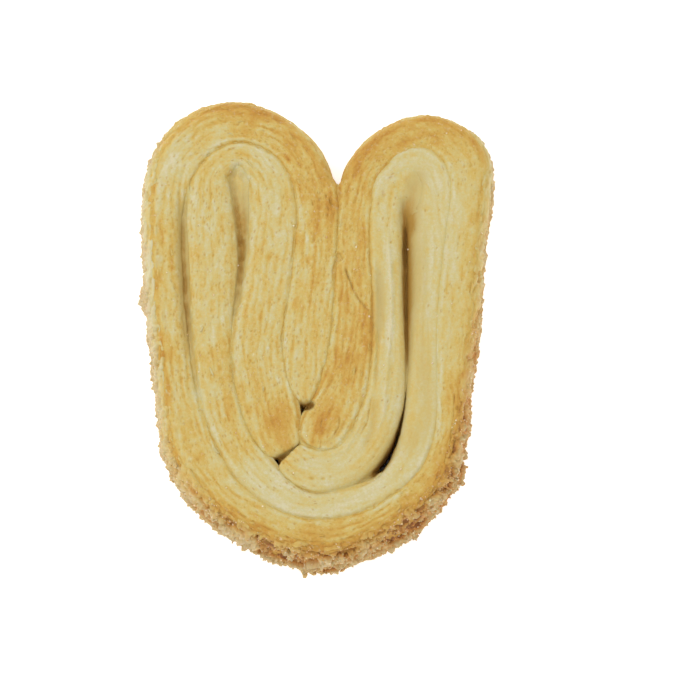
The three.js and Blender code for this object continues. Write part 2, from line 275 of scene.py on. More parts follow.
# Splits, cracks and grooves of each sheet, and ridges where the depth is below 0: half width, depth, how
# deeply stained, partly painted shade, and the points of each.
SPLITS = {
    "outer_sheet": [
        (0.17, 0.6, 0.55, [(5.0, 11.6), (5.7, 9.8), (6.4, 7.9), (7.0, 6.4)]),
        (0.12, 0.35, 0.5, [(6.4, 7.6), (7.6, 5.4), (8.8, 3.9), (10.3, 2.0)]),
        (0.4, -0.16, 0.0, [(5.8, 11.6), (6.6, 9.2), (7.6, 7.0), (9.0, 4.8), (10.4, 3.2)]),
        (0.14, 0.3, 0.5, [(4.1, -16.3), (4.1, -18.4), (3.0, -20.4)]),
        (0.14, 0.25, 0.4, [(1.0, -16.8), (0.7, -19.0)]),
        (0.45, 0.6, 1.0, [(3.8, 14.2), (4.1, 13.4), (4.6, 12.4)]),
        (
            1.0,
            0.3,
            0.16,
            [(-25.2, 30.0), (-25.4, 24.0), (-25.2, 18.4), (-25.0, 6.9), (-24.4, 0.6), (-23.4, -9.0)],
        ),
        (0.35, 0.3, 0.3, [(4.2, 13.4), (3.4, 11.8), (2.9, 9.2)]),
        (0.35, 0.2, 0.2, [(-0.6, -21.9), (2.2, -21.5), (4.6, -19.0), (5.4, -16.0)]),
        (0.6, 2.4, 0.5, [(-3.6, -14.7), (-2.4, -14.7), (-1.4, -14.6), (-0.1, -14.2)]),
        (0.22, 0.22, 0.75, [(-22.0, 41.0), (-19.8, 42.0), (-17.6, 42.5)]),
        (0.26, 0.22, 0.8, [(-16.4, 42.2), (-14.0, 42.5), (-11.8, 42.1)]),
        (0.2, 0.2, 0.6, [(-8.6, 40.4), (-7.2, 39.6), (-6.4, 38.9)]),
        (0.18, 0.18, 0.5, [(-5.4, 37.6), (-4.3, 36.3), (-3.6, 35.2)]),
        (0.2, 0.18, 0.5, [(-26.4, 36.2), (-25.2, 37.6), (-24.0, 38.8)]),
        (0.16, 0.15, 0.45, [(-10.4, 38.6), (-9.2, 37.9)]),
        (0.16, 0.15, 0.45, [(-3.6, 31.6), (-2.9, 30.2)]),
        (0.3, -0.12, 0.0, [(4.4, 25.5), (4.5, 20.0), (4.6, 15.4), (5.6, 12.6)]),
    ],
    "inner_sheet": [
        (0.22, 0.25, 0.4, [(-1.4, -28.0), (-0.4, -28.2)]),
        (0.22, 0.25, 0.4, [(0.7, -28.2), (1.5, -28.1)]),
        (0.18, 0.2, 0.3, [(2.2, -27.9), (2.7, -27.8)]),
        (0.6, 0.35, 0.25, [(7.0, -16.5), (6.1, -19.2), (3.3, -22.0), (-1.2, -23.3)]),
        (0.14, 0.25, 0.35, [(10.1, -12.4), (9.6, -15.4), (9.2, -17.8), (7.5, -20.9)]),
        (0.95, 0.65, 0.1, [(11.2, 13.5), (11.5, 9.8), (11.6, 6.0), (11.6, 2.0), (11.2, -4.0)]),
        (1.9, 0.8, 0.12, [(18.2, 30.4), (17.9, 27.4), (17.4, 24.6), (17.2, 21.0), (17.2, 16.5)]),
        (0.4, 0.3, 0.25, [(11.4, 0.6), (11.2, -4.0), (10.7, -12.0)]),
        (0.8, 0.3, 0.2, [(10.6, -12.0), (10.4, -19.0), (8.2, -24.0)]),
        (
            0.5,
            -0.32,
            0.0,
            [(13.2, 24.0), (13.1, 16.0), (13.6, 8.0), (13.5, 0.0), (12.8, -8.0), (12.0, -17.0), (9.0, -23.0)],
        ),
        (0.35, -0.18, 0.0, [(8.4, -13.0), (7.8, -18.4), (5.2, -22.9), (0.2, -24.6)]),
    ],
}

# The crease behind the outermost layer: the station, then how deep from 0 to 1.
RIM_CREASE = [
    (4.6, 0.3),
    (6, 1.0),
    (13, 1.0),
    (14.5, 0.3),
    (16, 0.0),
    (23, 0.0),
    (24.5, 0.6),
    (27, 0.5),
    (29.4, 1.0),
    (30.3, 0.3),
]

# Crust of the rim: the station, how rough, its width on the top, how brown, and how sugared.
RIM_CRUST = [
    (5.4, 0.0, 1.0, 0.5, 0.0),
    (6.6, 0.35, 1.3, 0.65, 0.3),
    (8, 0.5, 1.6, 0.55, 0.5),
    (9, 0.65, 2.4, -0.1, 0.8),
    (11, 0.65, 2.6, -0.4, 0.9),
    (13, 0.65, 2.6, -0.05, 0.8),
    (14.5, 0.8, 3.2, 0.5, 0.8),
    (16, 1.0, 4.2, 0.65, 0.8),
    (18, 1.0, 4.4, 0.8, 0.8),
    (20, 1.0, 4.6, 0.95, 0.8),
    (21.5, 0.9, 4.4, 0.95, 0.7),
    (23, 0.6, 3.2, 0.85, 0.5),
    (24.5, 0.5, 2.1, 0.3, 0.4),
    (27, 0.5, 1.7, 0.05, 0.5),
    (28, 0.5, 1.5, 0.3, 0.5),
    (29.2, 0.3, 1.2, 0.5, 0.3),
    (29.9, 0.0, 1.0, 0.6, 0.0),
]

# Edges that stand clear of their neighbour: the side, 1 for left, and the first and last station.
CLEAR = {
    "outer_sheet": [(1, 9.7, 13.1)],
    "inner_sheet": [(-1, 9.7, 13.1), (1, 3.6, 13.0), (1, 18.9, 26.5), (1, 28.6, 36.8)],
}

# Crumb between sheets that stand clear or end: x and y of its deepest line, the reach of both slopes
# together, the share of it that lies to the left, and how far it sinks.
HOLLOWS = {
    "left_groove": [
        (-24.6, 30.6, 1.6, 0.3, 0.0),
        (-24.6, 28.0, 2.0, 0.25, 0.15),
        (-24.5, 24.0, 2.4, 0.2, 0.25),
        (-24.2, 20.0, 2.6, 0.2, 0.5),
        (-24.0, 14.6, 2.6, 0.2, 0.6),
        (-23.9, 6.9, 2.6, 0.2, 0.75),
        (-23.4, 0.6, 2.4, 0.2, 0.6),
        (-23.0, -4.0, 2.2, 0.25, 0.4),
        (-22.4, -8.1, 1.8, 0.3, 0.3),
        (-21.8, -12.0, 1.6, 0.4, 0.2),
        (-20.9, -16.0, 1.4, 0.5, 0.0),
    ],
    "left_slot": [
        (-15.6, 31.6, 1.6, 0.6, 0.1),
        (-16.1, 29.4, 2.9, 0.75, 0.7),
        (-15.8, 27.0, 2.9, 0.7, 0.95),
        (-15.2, 24.6, 2.7, 0.65, 1.15),
        (-14.7, 22.0, 2.3, 0.6, 1.4),
        (-14.3, 19.0, 2.0, 0.55, 1.7),
        (-14.2, 16.8, 1.9, 0.5, 2.2),
        (-14.1, 15.5, 1.8, 0.5, 1.2),
        (-14.1, 14.0, 1.7, 0.5, 1.7),
        (-14.2, 12.5, 1.9, 0.5, 1.0),
        (-14.4, 10.0, 2.0, 0.55, 0.9),
        (-14.8, 7.0, 2.0, 0.6, 0.7),
        (-15.5, 4.0, 1.8, 0.6, 0.5),
        (-16.4, 0.0, 1.5, 0.6, 0.45),
        (-16.6, -5.0, 1.2, 0.55, 0.4),
        (-15.6, -12.0, 1.1, 0.5, 0.4),
        (-13.0, -18.5, 1.1, 0.5, 0.4),
        (-9.6, -23.6, 1.1, 0.5, 0.5),
        (-8.8, -24.4, 1.0, 0.5, 0.9),
    ],
    "cut_ends": [
        (-2.9, -16.6, 0.9, 0.5, 0.0),
        (-3.1, -18.4, 0.9, 0.5, 0.35),
        (-3.6, -20.8, 1.2, 0.5, 0.6),
        (-4.1, -22.4, 1.4, 0.6, 0.9),
        (-4.9, -24.0, 1.7, 0.4, 1.2),
        (-6.2, -24.9, 1.6, 0.35, 1.3),
        (-6.9, -25.2, 1.3, 0.35, 1.9),
    ],
    "notch_shelf": [
        (0.2, -13.2, 1.0, 0.5, 0.0),
        (-0.9, -14.2, 1.5, 0.4, 1.2),
        (-1.9, -14.9, 1.7, 0.4, 1.7),
        (-2.2, -15.1, 1.4, 0.4, 2.4),
    ],
    "rolled_end": [
        (-2.6, -18.6, 0.9, 0.5, 0.0),
        (-2.3, -21.0, 1.1, 0.5, 0.3),
        (0.4, -23.2, 1.2, 0.5, 0.25),
        (3.8, -22.4, 1.2, 0.5, 0.25),
        (6.4, -18.8, 1.0, 0.5, 0.0),
    ],
    "lower_seam": [
        (11.6, -26.0, 1.2, 0.5, 5.0),
        (10.4, -27.1, 1.2, 0.5, 2.2),
        (9.0, -28.2, 1.3, 0.5, 0.9),
        (7.0, -29.4, 1.2, 0.5, 0.6),
        (4.2, -30.3, 1.1, 0.5, 0.45),
        (-0.7, -30.9, 1.1, 0.5, 0.4),
        (-4.6, -29.0, 1.1, 0.5, 0.45),
        (-6.9, -26.9, 1.0, 0.5, 0.6),
    ],
    "right_slot": [
        (15.8, 30.6, 2.4, 0.5, 0.0),
        (16.6, 28.6, 3.4, 0.5, -0.15),
        (17.1, 26.6, 3.6, 0.5, -0.25),
        (17.0, 24.4, 3.2, 0.55, 0.0),
        (16.8, 22.0, 2.8, 0.6, 0.0),
        (16.5, 20.0, 2.4, 0.65, 0.5),
        (16.3, 18.4, 2.4, 0.7, 1.6),
        (16.2, 15.4, 2.4, 0.7, 2.3),
        (16.2, 11.7, 2.4, 0.7, 2.1),
        (16.2, 9.5, 2.4, 0.7, 1.9),
        (16.3, 6.4, 2.4, 0.7, 1.4),
        (16.4, 3.4, 2.3, 0.7, 1.4),
        (16.5, 1.3, 2.2, 0.7, 0.9),
        (16.4, -1.0, 2.0, 0.7, 1.1),
        (16.5, -4.4, 1.9, 0.65, 0.7),
        (16.6, -6.6, 1.8, 0.6, 0.5),
        (16.7, -9.4, 1.4, 0.5, 0.4),
        (16.5, -11.6, 1.2, 0.5, 0.6),
        (16.2, -13.4, 1.3, 0.5, 1.5),
        (15.9, -15.0, 1.3, 0.5, 2.6),
        (15.6, -16.6, 1.2, 0.5, 4.5),
    ],
}

# Seams that crumb has closed: the side of the outer sheet, 1 for left, and its first and last station.
SEAMS = [(1, 1.6, 9.9), (1, 12.9, 36.0), (-1, 1.7, 4.4)]

# Crags of crust on the rim: x, y, reach, half length.
CRAGS = [
    (-32.1, 6.3, 1.6, 2.9),
    (-31.5, -1.4, 0.7, 2.4),
    (-31.3, 32.7, 0.5, 2.5),
    (21.1, 41.6, 0.7, 3.0),
    (32.5, 26.2, 0.4, 4.0),
    (26.1, -27.1, 0.6, 2.5),
    (-27.9, -21.3, 0.5, 2.0),
]

# How far a sheet's side reaches into its neighbour along a seam, in mm.
SEAM_OVERLAP = 0.55

# How much of a bend's radius the inner side of a sheet fills, so that it doesn't fold over itself.
FOLD_CLEARANCE = {"outer_sheet": 0.92, "inner_sheet": 0.76}

# How each sheet starts and ends: the length over which it narrows, the share of its width that it keeps at
# the very end, and how far its crown sinks there, over the length of the shoulder.
ENDS = {
    "outer_sheet": ((1.0, 0.9, 0.7), (3.6, 0.3, 0.3)),
    "inner_sheet": ((0.9, 0.8, 0.8), (0.9, 0.8, 0.5)),
}
END_SHOULDER = 2.2

# How far the edges of the underside lift off the floor, in mm.
TRAY_EASE = 0.6

# How far below the crown crumb lies in full shade, in mm.
FULL_DEPTH = 2.9

# Each sheet's rings of points, and its columns: below on each side of the middle, up its left wall, over its
# top and down its right wall. CAP_RINGS of the rings close each of its ends.
SHEET_RINGS = {"outer_sheet": 1181, "inner_sheet": 1081}
SHEET_COLUMNS = {"outer_sheet": (4, 7, 60, 8), "inner_sheet": (4, 12, 60, 8)}
CAP_RINGS = 9

# Points across the crust's face and across its hidden back.
CRUST_FACE, CRUST_BACK = 74, 8

# From ring to ring along the crust and along a strip of crumb, and the edge of a cell of the map of the top,
# in mm.
CRUST_RING = 0.19
STRIP_RING = 0.26
MAP_CELL = 0.25

# How high the underside of the crumb lies in the seams and in the hollows, in mm.
SEAM_UNDER, HOLLOW_UNDER = 6.0, 0.6

# What each piece adds to the seed. The strips of hollow crumb count on from theirs.
SEED_OF = {
    "outer_sheet": 0,
    "inner_sheet": 1,
    "rim_crumbs": 3,
    "sugar": 4,
    "flakes": 5,
    "rim_crust": 6,
    "seam_crumb": 7,
    "hollow_crumb": 20,
}

# Where the camera looks, in mm.
CAMERA_AIM = (3.78, -0.73, 6.0)

# The middle of the long gap, and how far from it the floor starts to glow and glows in full, in mm.
GAP_MIDDLE = (14.0, -19.5, 0.0)
GAP_SHADE = (8.5, 13.0)

# What the sheets and the crust pass on to the pieces that lie on them.
surfaces = {}


# ---------------------------------------------------------------- numbers


def ease(low, high, x):
    """0 below low, 1 above high, and a smooth rise between them."""
    t = np.clip((x - low) / (high - low), 0, 1)
    return t * t * (3 - 2 * t)


class Noise:
    """Seeded smooth noise from -1 to 1, on a lattice that repeats."""

    def __init__(self, seed):
        rng = np.random.default_rng(seed)
        self.flat = rng.uniform(-1, 1, (256, 256))
        self.deep = rng.uniform(-1, 1, (64, 64, 64))

    def plane(self, x, y):
        """Noise over a plane."""
        x, y = np.broadcast_arrays(x, y)
        i, j = np.floor(x).astype(int), np.floor(y).astype(int)
        u, v = x - i, y - j
        u, v = u * u * (3 - 2 * u), v * v * (3 - 2 * v)
        a, b, c, d = (self.flat[(i + p) & 255, (j + q) & 255] for p, q in ((0, 0), (1, 0), (0, 1), (1, 1)))
        return (a * (1 - u) + b * u) * (1 - v) + (c * (1 - u) + d * u) * v

    def space(self, points):
        """Noise in space."""
        cell = np.floor(points).astype(int)
        t = points - cell
        t = t * t * (3 - 2 * t)
        i, j, k = cell[..., 0], cell[..., 1], cell[..., 2]
        u, v, w = t[..., 0], t[..., 1], t[..., 2]
        total = 0
        for p in (0, 1):
            for q in (0, 1):
                for r in (0, 1):
                    share = (u if p else 1 - u) * (v if q else 1 - v) * (w if r else 1 - w)
                    total = total + share * self.deep[(i + p) & 63, (j + q) & 63, (k + r) & 63]
        return total

    def layers(self, points, octaves):
        """Noise in space, with finer and weaker noise on it."""
        return sum(self.space(points * 2**n + 17.3 * n) / 2**n for n in range(octaves))


def route(stations):
    """A smooth line through the stations, sampled closely: place, width and drops by distance along."""
    knots = np.array(stations, dtype=float)
    count = len(knots)
    ends = np.vstack([2 * knots[0] - knots[1], knots, 2 * knots[-1] - knots[-2]])
    steps, samples = 40, 1600
    places, marks = [], []
    for n in range(count - 1):
        p0, p1, p2, p3 = (ends[n + m, :3] for m in range(4))
        d0, d1, d2 = (np.sqrt(np.linalg.norm(b - a)) for a, b in ((p0, p1), (p1, p2), (p2, p3)))
        v1 = ((p1 - p0) / d0 - (p2 - p0) / (d0 + d1) + (p2 - p1) / d1) * d1
        v2 = ((p2 - p1) / d1 - (p3 - p1) / (d1 + d2) + (p3 - p2) / d2) * d1
        last = n == count - 2
        for t in np.linspace(0, 1, steps + last, endpoint=last):
            cubic = 2 * p1 - 2 * p2 + v1 + v2
            places.append(p1 + v1 * t + (3 * (p2 - p1) - 2 * v1 - v2) * t**2 + cubic * t**3)
            marks.append(n + t)
    places, marks = np.array(places), np.array(marks)
    travelled = np.concatenate([[0], np.cumsum(np.linalg.norm(np.diff(places[:, :2], axis=0), axis=1))])
    even = np.linspace(0, travelled[-1], samples)
    line = {
        "along": even,
        "mark": np.interp(even, travelled, marks),
        "x": np.interp(even, travelled, places[:, 0]) - BOX_MIDDLE[0],
        "y": np.interp(even, travelled, places[:, 1]) - BOX_MIDDLE[1],
        "width": np.maximum(np.interp(even, travelled, places[:, 2]), 0.4),
    }
    for n, name in enumerate(("left_drop", "right_drop")[: knots.shape[1] - 3]):
        line[name] = np.interp(line["mark"], np.arange(count), knots[:, 3 + n])
    return line


def smoothed(values, reach):
    """A running mean over reach samples each side, with the ends held."""
    padded = np.pad(values, reach, mode="edge")
    return np.convolve(padded, np.ones(2 * reach + 1) / (2 * reach + 1), mode="valid")


def rows_of(line, distances):
    """What a route says at the given distances, with its whole length, its heading and its bend."""
    even = line["along"]
    step = even[1] - even[0]
    dx, dy = (smoothed(np.gradient(line[c], step), 3) for c in ("x", "y"))
    heading = np.unwrap(np.arctan2(dy, dx))
    turning = smoothed(np.gradient(heading, step), int(1.5 / step))
    out = {key: np.interp(distances, even, line[key]) for key in line if key != "along"}
    angle = np.interp(distances, even, heading)
    out["heading"] = np.stack([np.cos(angle), np.sin(angle)], -1)
    out["left"] = np.stack([-np.sin(angle), np.cos(angle)], -1)
    out["turning"] = np.interp(distances, even, turning)
    out["along"] = distances
    out["length"] = even[-1]
    return out


def station_distance(line, mark):
    """How far along a route a station lies."""
    return float(np.interp(mark, line["mark"], line["along"]))


def along_course(places, course):
    """Distance of each place from a line of points, and how far along it the nearest spot is, from 0 to 1."""
    knots = np.array(course, float)
    runs = np.linalg.norm(np.diff(knots, axis=0), axis=1)
    best, share, gone = np.full(places.shape[:-1], 1e3), 0 * places[..., 0], 0.0
    for a, b, run in zip(knots, knots[1:], runs):
        t = np.clip(((places - a) @ (b - a)) / run**2, 0, 1)
        away = np.linalg.norm(places - (a + t[..., None] * (b - a)), axis=-1)
        share = np.where(away < best, (gone + t * run) / runs.sum(), share)
        best = np.minimum(best, away)
        gone += run
    return best, share


def turned(places, x, y, degrees):
    """Places counted from x, y along and across a direction."""
    angle = math.radians(degrees)
    dx, dy = places[..., 0] - x, places[..., 1] - y
    return dx * math.cos(angle) + dy * math.sin(angle), dy * math.cos(angle) - dx * math.sin(angle)


def spots_at(places, table):
    """How strong a table's soft oval spots are together at each place."""
    total = 0
    for x, y, long, short, turn, amount in table:
        a, b = turned(places, x, y, turn)
        total = total + amount * np.exp(-((a / long) ** 2 + (b / short) ** 2))
    return total


def by_station(table, mark, column):
    """One column of a table whose first column is the station."""
    return np.interp(mark, [row[0] for row in table], [row[column] for row in table])


def rounding(distance, length):
    """The rise of a quarter circle from 0 to 1 over a length."""
    return np.sqrt(1 - (1 - np.clip(distance / length, 0, 1)) ** 2)


# Noise over the floor plan that both sheets share: the top's swell and blotches, and where seams show.
GROUND = Noise(11)


# ---------------------------------------------------------------- meshes


def new_piece(name, mesh, material, smooth=True):
    """Links a mesh as a piece that stands for the solid, and gives it its material and slot."""
    piece = bpy.data.objects.new(name, mesh)
    bpy.context.scene.collection.objects.link(piece)
    mesh.materials.append(material)
    for polygon in mesh.polygons:
        polygon.use_smooth = smooth
    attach(piece, BODY)
    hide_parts(NODE)
    return piece


def joined_piece(name, strips, material):
    """Several strips as one piece."""
    whole = bmesh.new()
    for strip in strips:
        whole.from_mesh(strip)
        bpy.data.meshes.remove(strip)
    mesh = bpy.data.meshes.new(name)
    whole.to_mesh(mesh)
    whole.free()
    return new_piece(name, mesh, material)


def wrapped_mesh(name, points, attributes):
    """A grid rolled into a closed tube, with its rings and columns put on the points."""
    rings, columns = points.shape[0] - 1, points.shape[1]
    bm = bmesh.new()
    bmesh.ops.create_grid(bm, x_segments=columns, y_segments=rings, size=0.5)
    mesh = bpy.data.meshes.new(name)
    bm.to_mesh(mesh)
    bm.free()
    flat = np.empty(len(mesh.vertices) * 3)
    mesh.vertices.foreach_get("co", flat)
    flat = flat.reshape(-1, 3)
    column = np.rint((flat[:, 0] + 0.5) * columns).astype(int) % columns
    ring = np.rint((flat[:, 1] + 0.5) * rings).astype(int)
    mesh.vertices.foreach_set("co", (points[ring, column] * MM).ravel())
    for key, values in attributes.items():
        kind, field = ("FLOAT_VECTOR", "vector") if values.ndim == 3 else ("FLOAT", "value")
        layer = mesh.attributes.new(key, kind, "POINT")
        layer.data.foreach_set(field, values[ring, column].astype(np.float32).ravel())
    bm = bmesh.new()
    bm.from_mesh(mesh)
    bmesh.ops.remove_doubles(bm, verts=bm.verts, dist=1e-7)
    bmesh.ops.dissolve_degenerate(bm, edges=bm.edges, dist=1e-8)
    bmesh.ops.recalc_face_normals(bm, faces=bm.faces)
    bm.to_mesh(mesh)
    bm.free()
    return mesh


def with_closed_ends(points):
    """A tube whose first and last rings are drawn together to a point."""
    closed = np.ones(len(points))
    closed[[0, -1]] = 0
    middle = points.mean(axis=1, keepdims=True)
    return middle + (points - middle) * closed[:, None, None]


def ring_layout(bottom, left_wall, top, right_wall):
    """Each column's share across and up a tube's section. The first column is under the middle."""
    across = [
        np.linspace(0, 1, bottom, endpoint=False),
        np.ones(left_wall),
        np.linspace(1, -1, top, endpoint=False),
        -np.ones(right_wall),
        np.linspace(-1, 0, bottom, endpoint=False),
    ]
    up = [
        np.zeros(bottom),
        np.linspace(0, 1, left_wall, endpoint=False),
        np.ones(top),
        np.linspace(1, 0, right_wall, endpoint=False),
        np.zeros(bottom),
    ]
    return np.concatenate(across)[None, :], np.concatenate(up)[None, :]


def outward(points):
    """Unit normals of a tube of points, from its rings and columns."""
    along = np.gradient(points, axis=0)
    around = (np.roll(points, -1, axis=1) - np.roll(points, 1, axis=1)) / 2
    normal = np.cross(around, along)
    size = np.linalg.norm(normal, axis=-1, keepdims=True)
    normal = normal / np.maximum(size, 1e-9)
    inward = points.mean(axis=1, keepdims=True) - points
    flip = np.sign(-(normal * inward).sum(-1).mean())
    return normal * flip


# ---------------------------------------------------------------- sheets of dough


def baked(table, mark, across):
    """How brown and how calm a sheet is, at the stations and shares across it."""
    left, middle, right, calm = (by_station(table, mark, n)[:, None] for n in range(1, 5))
    side = np.clip(np.abs(across) / 0.85, 0, 1)
    return middle * (1 - side) + np.where(across > 0, left, right) * side, calm + 0 * across


def edge_kinds(name, mark, p):
    """How far each edge of a sheet is rim, and how far it has grown together with its neighbour."""
    mark = mark[:, None]
    rim, clear = 0 * p * mark, 0 * p * mark
    if name == "outer_sheet":
        rim = ease(4.25, 4.5, mark) * ease(30.55, 30.3, mark) * (p < 0)
    for side, first, last in CLEAR[name]:
        there = ease(first - 0.4, first + 0.3, mark) * ease(last + 0.4, last - 0.3, mark)
        clear = np.maximum(clear, there * (np.sign(p) == side))
    return rim, (1 - rim) * (1 - clear * (1 - rim))


def healed_at(places):
    """How far the sheets have baked into one, so that their seam hardly shows."""
    whole = 0
    for x, y, half_width, half_height, amount in HEALED:
        reach = ((places[..., 0] - x) / half_width) ** 4 + ((places[..., 1] - y) / half_height) ** 4
        whole = np.maximum(whole, amount * np.exp(-reach))
    return whole


def section(row, p, q, sizes, name):
    """Points of a sheet's plain surface, with its half width and how far each point lies inside its edge."""
    start, end = ENDS[name]
    distance, length, mark = row["along"], row["length"], row["mark"][:, None]
    width = (row["width"] / 2)[:, None]
    rim, grown = edge_kinds(name, row["mark"], p)

    # Its width: the sides swell, seams overlap, and a bend or an end narrows it.
    notch = rim * (ease(5.6, 5.0, mark) + ease(29.4, 30.0, mark))
    edge = width + 0 * p
    half = edge + sizes.bulge * (1 - notch) * np.sin(np.pi * q) * (np.abs(p) == 1) + SEAM_OVERLAP * grown
    inside = np.sign(p) == np.sign(row["turning"])[:, None]
    radius = 1 / np.maximum(np.abs(row["turning"]), 1e-3)[:, None]
    room = FOLD_CLEARANCE[name] * radius
    narrow = 1
    for away, (reach, kept, _) in ((distance, start), (length - distance, end)):
        narrow = narrow * (kept + (1 - kept) * rounding(away, reach))
    edge, half = (np.where(inside, np.minimum(size, room), size) * narrow[:, None] for size in (edge, half))
    from_edge = edge - np.abs(p) * half

    # How far its top falls below the crown: freely to an open edge, or in a shallow dip to a seam.
    pinched = inside * ease(1.0, 0.85, room / width)
    drop = np.where(p > 0, row["left_drop"][:, None], row["right_drop"][:, None])
    slope = np.maximum(5 - drop * np.where(rim > 0.5, 0.5, 1.0), 2)
    corner = sizes.corner / np.maximum(half, 0.5)
    past = np.clip((np.abs(p) - (1 - corner)) / corner, 0, 1)
    free = drop * np.abs(p) ** slope + sizes.corner * (1 - np.sqrt(1 - past**2))
    flat = np.stack([row["x"], row["y"]], -1)[:, None, :] + row["left"][:, None, :] * (p * half)[..., None]
    dip = 0.2 * drop * p**4 + sizes.seam_depth * np.exp(-((np.maximum(from_edge, 0) / sizes.seam_width) ** 2))
    joined = dip * (1 - healed_at(flat)) + 0.9 * np.maximum(-from_edge, 0)
    fall = (joined * grown + free * (1 - grown)) * (1 - 0.5 * pinched)
    sink = np.where(distance < length / 2, start[2], end[2])
    sink = sink * (1 - rounding(np.minimum(distance, length - distance), END_SHOULDER))
    swell = 0.3 * GROUND.plane(flat[..., 0] / 14, flat[..., 1] / 14)
    crown = sizes.thickness + swell * (1 - rim * p**4) - sink[:, None] - fall
    lowest = np.maximum(-TRAY_EASE + 2 * TRAY_EASE * np.abs(p) ** 6, 0)
    height = lowest + (crown - lowest) * q

    crag = 0
    for x, y, reach, size in CRAGS:
        near = np.hypot(flat[..., 0] - x + BOX_MIDDLE[0], flat[..., 1] - y + BOX_MIDDLE[1])
        crag = crag + reach * np.clip(1 - near / size, 0, 1)
    crag = crag * rim * np.abs(p) ** 6 * np.sin(np.pi * np.minimum(q + 0.15, 1))
    flat = flat - row["left"][:, None, :] * crag[..., None]
    return np.concatenate([flat, height[..., None]], -1), half, from_edge


def pits(s, w, amount, noise):
    """Scattered long pits, from 0 to 1 at their deepest. amount is the share of the places that hold one."""
    cell_length, cell_width = 1.3, 0.46
    a, b = s / cell_length, w / cell_width
    i, j = np.floor(a).astype(int), np.floor(b).astype(int)
    deepest = 0 * s
    for di in (-1, 0, 1):
        for dj in (-1, 0, 1):
            m, n = (i + di) & 255, (j + dj) & 255
            drawn = (noise.flat[(m + 61 * k) & 255, (n + 97 * k) & 255] for k in range(4))
            shift_a, shift_b, size, held = drawn
            away_s = (a - i - di - 0.5 - 0.35 * shift_a) * cell_length / (0.27 + 0.12 * size)
            away_w = (b - j - dj - 0.5 - 0.3 * shift_b) * cell_width / (0.15 + 0.05 * size)
            there = held * 0.5 + 0.5 < amount
            deepest = np.maximum(deepest, np.clip(1 - away_s**2 - away_w**2, 0, 1) * there)
    return deepest


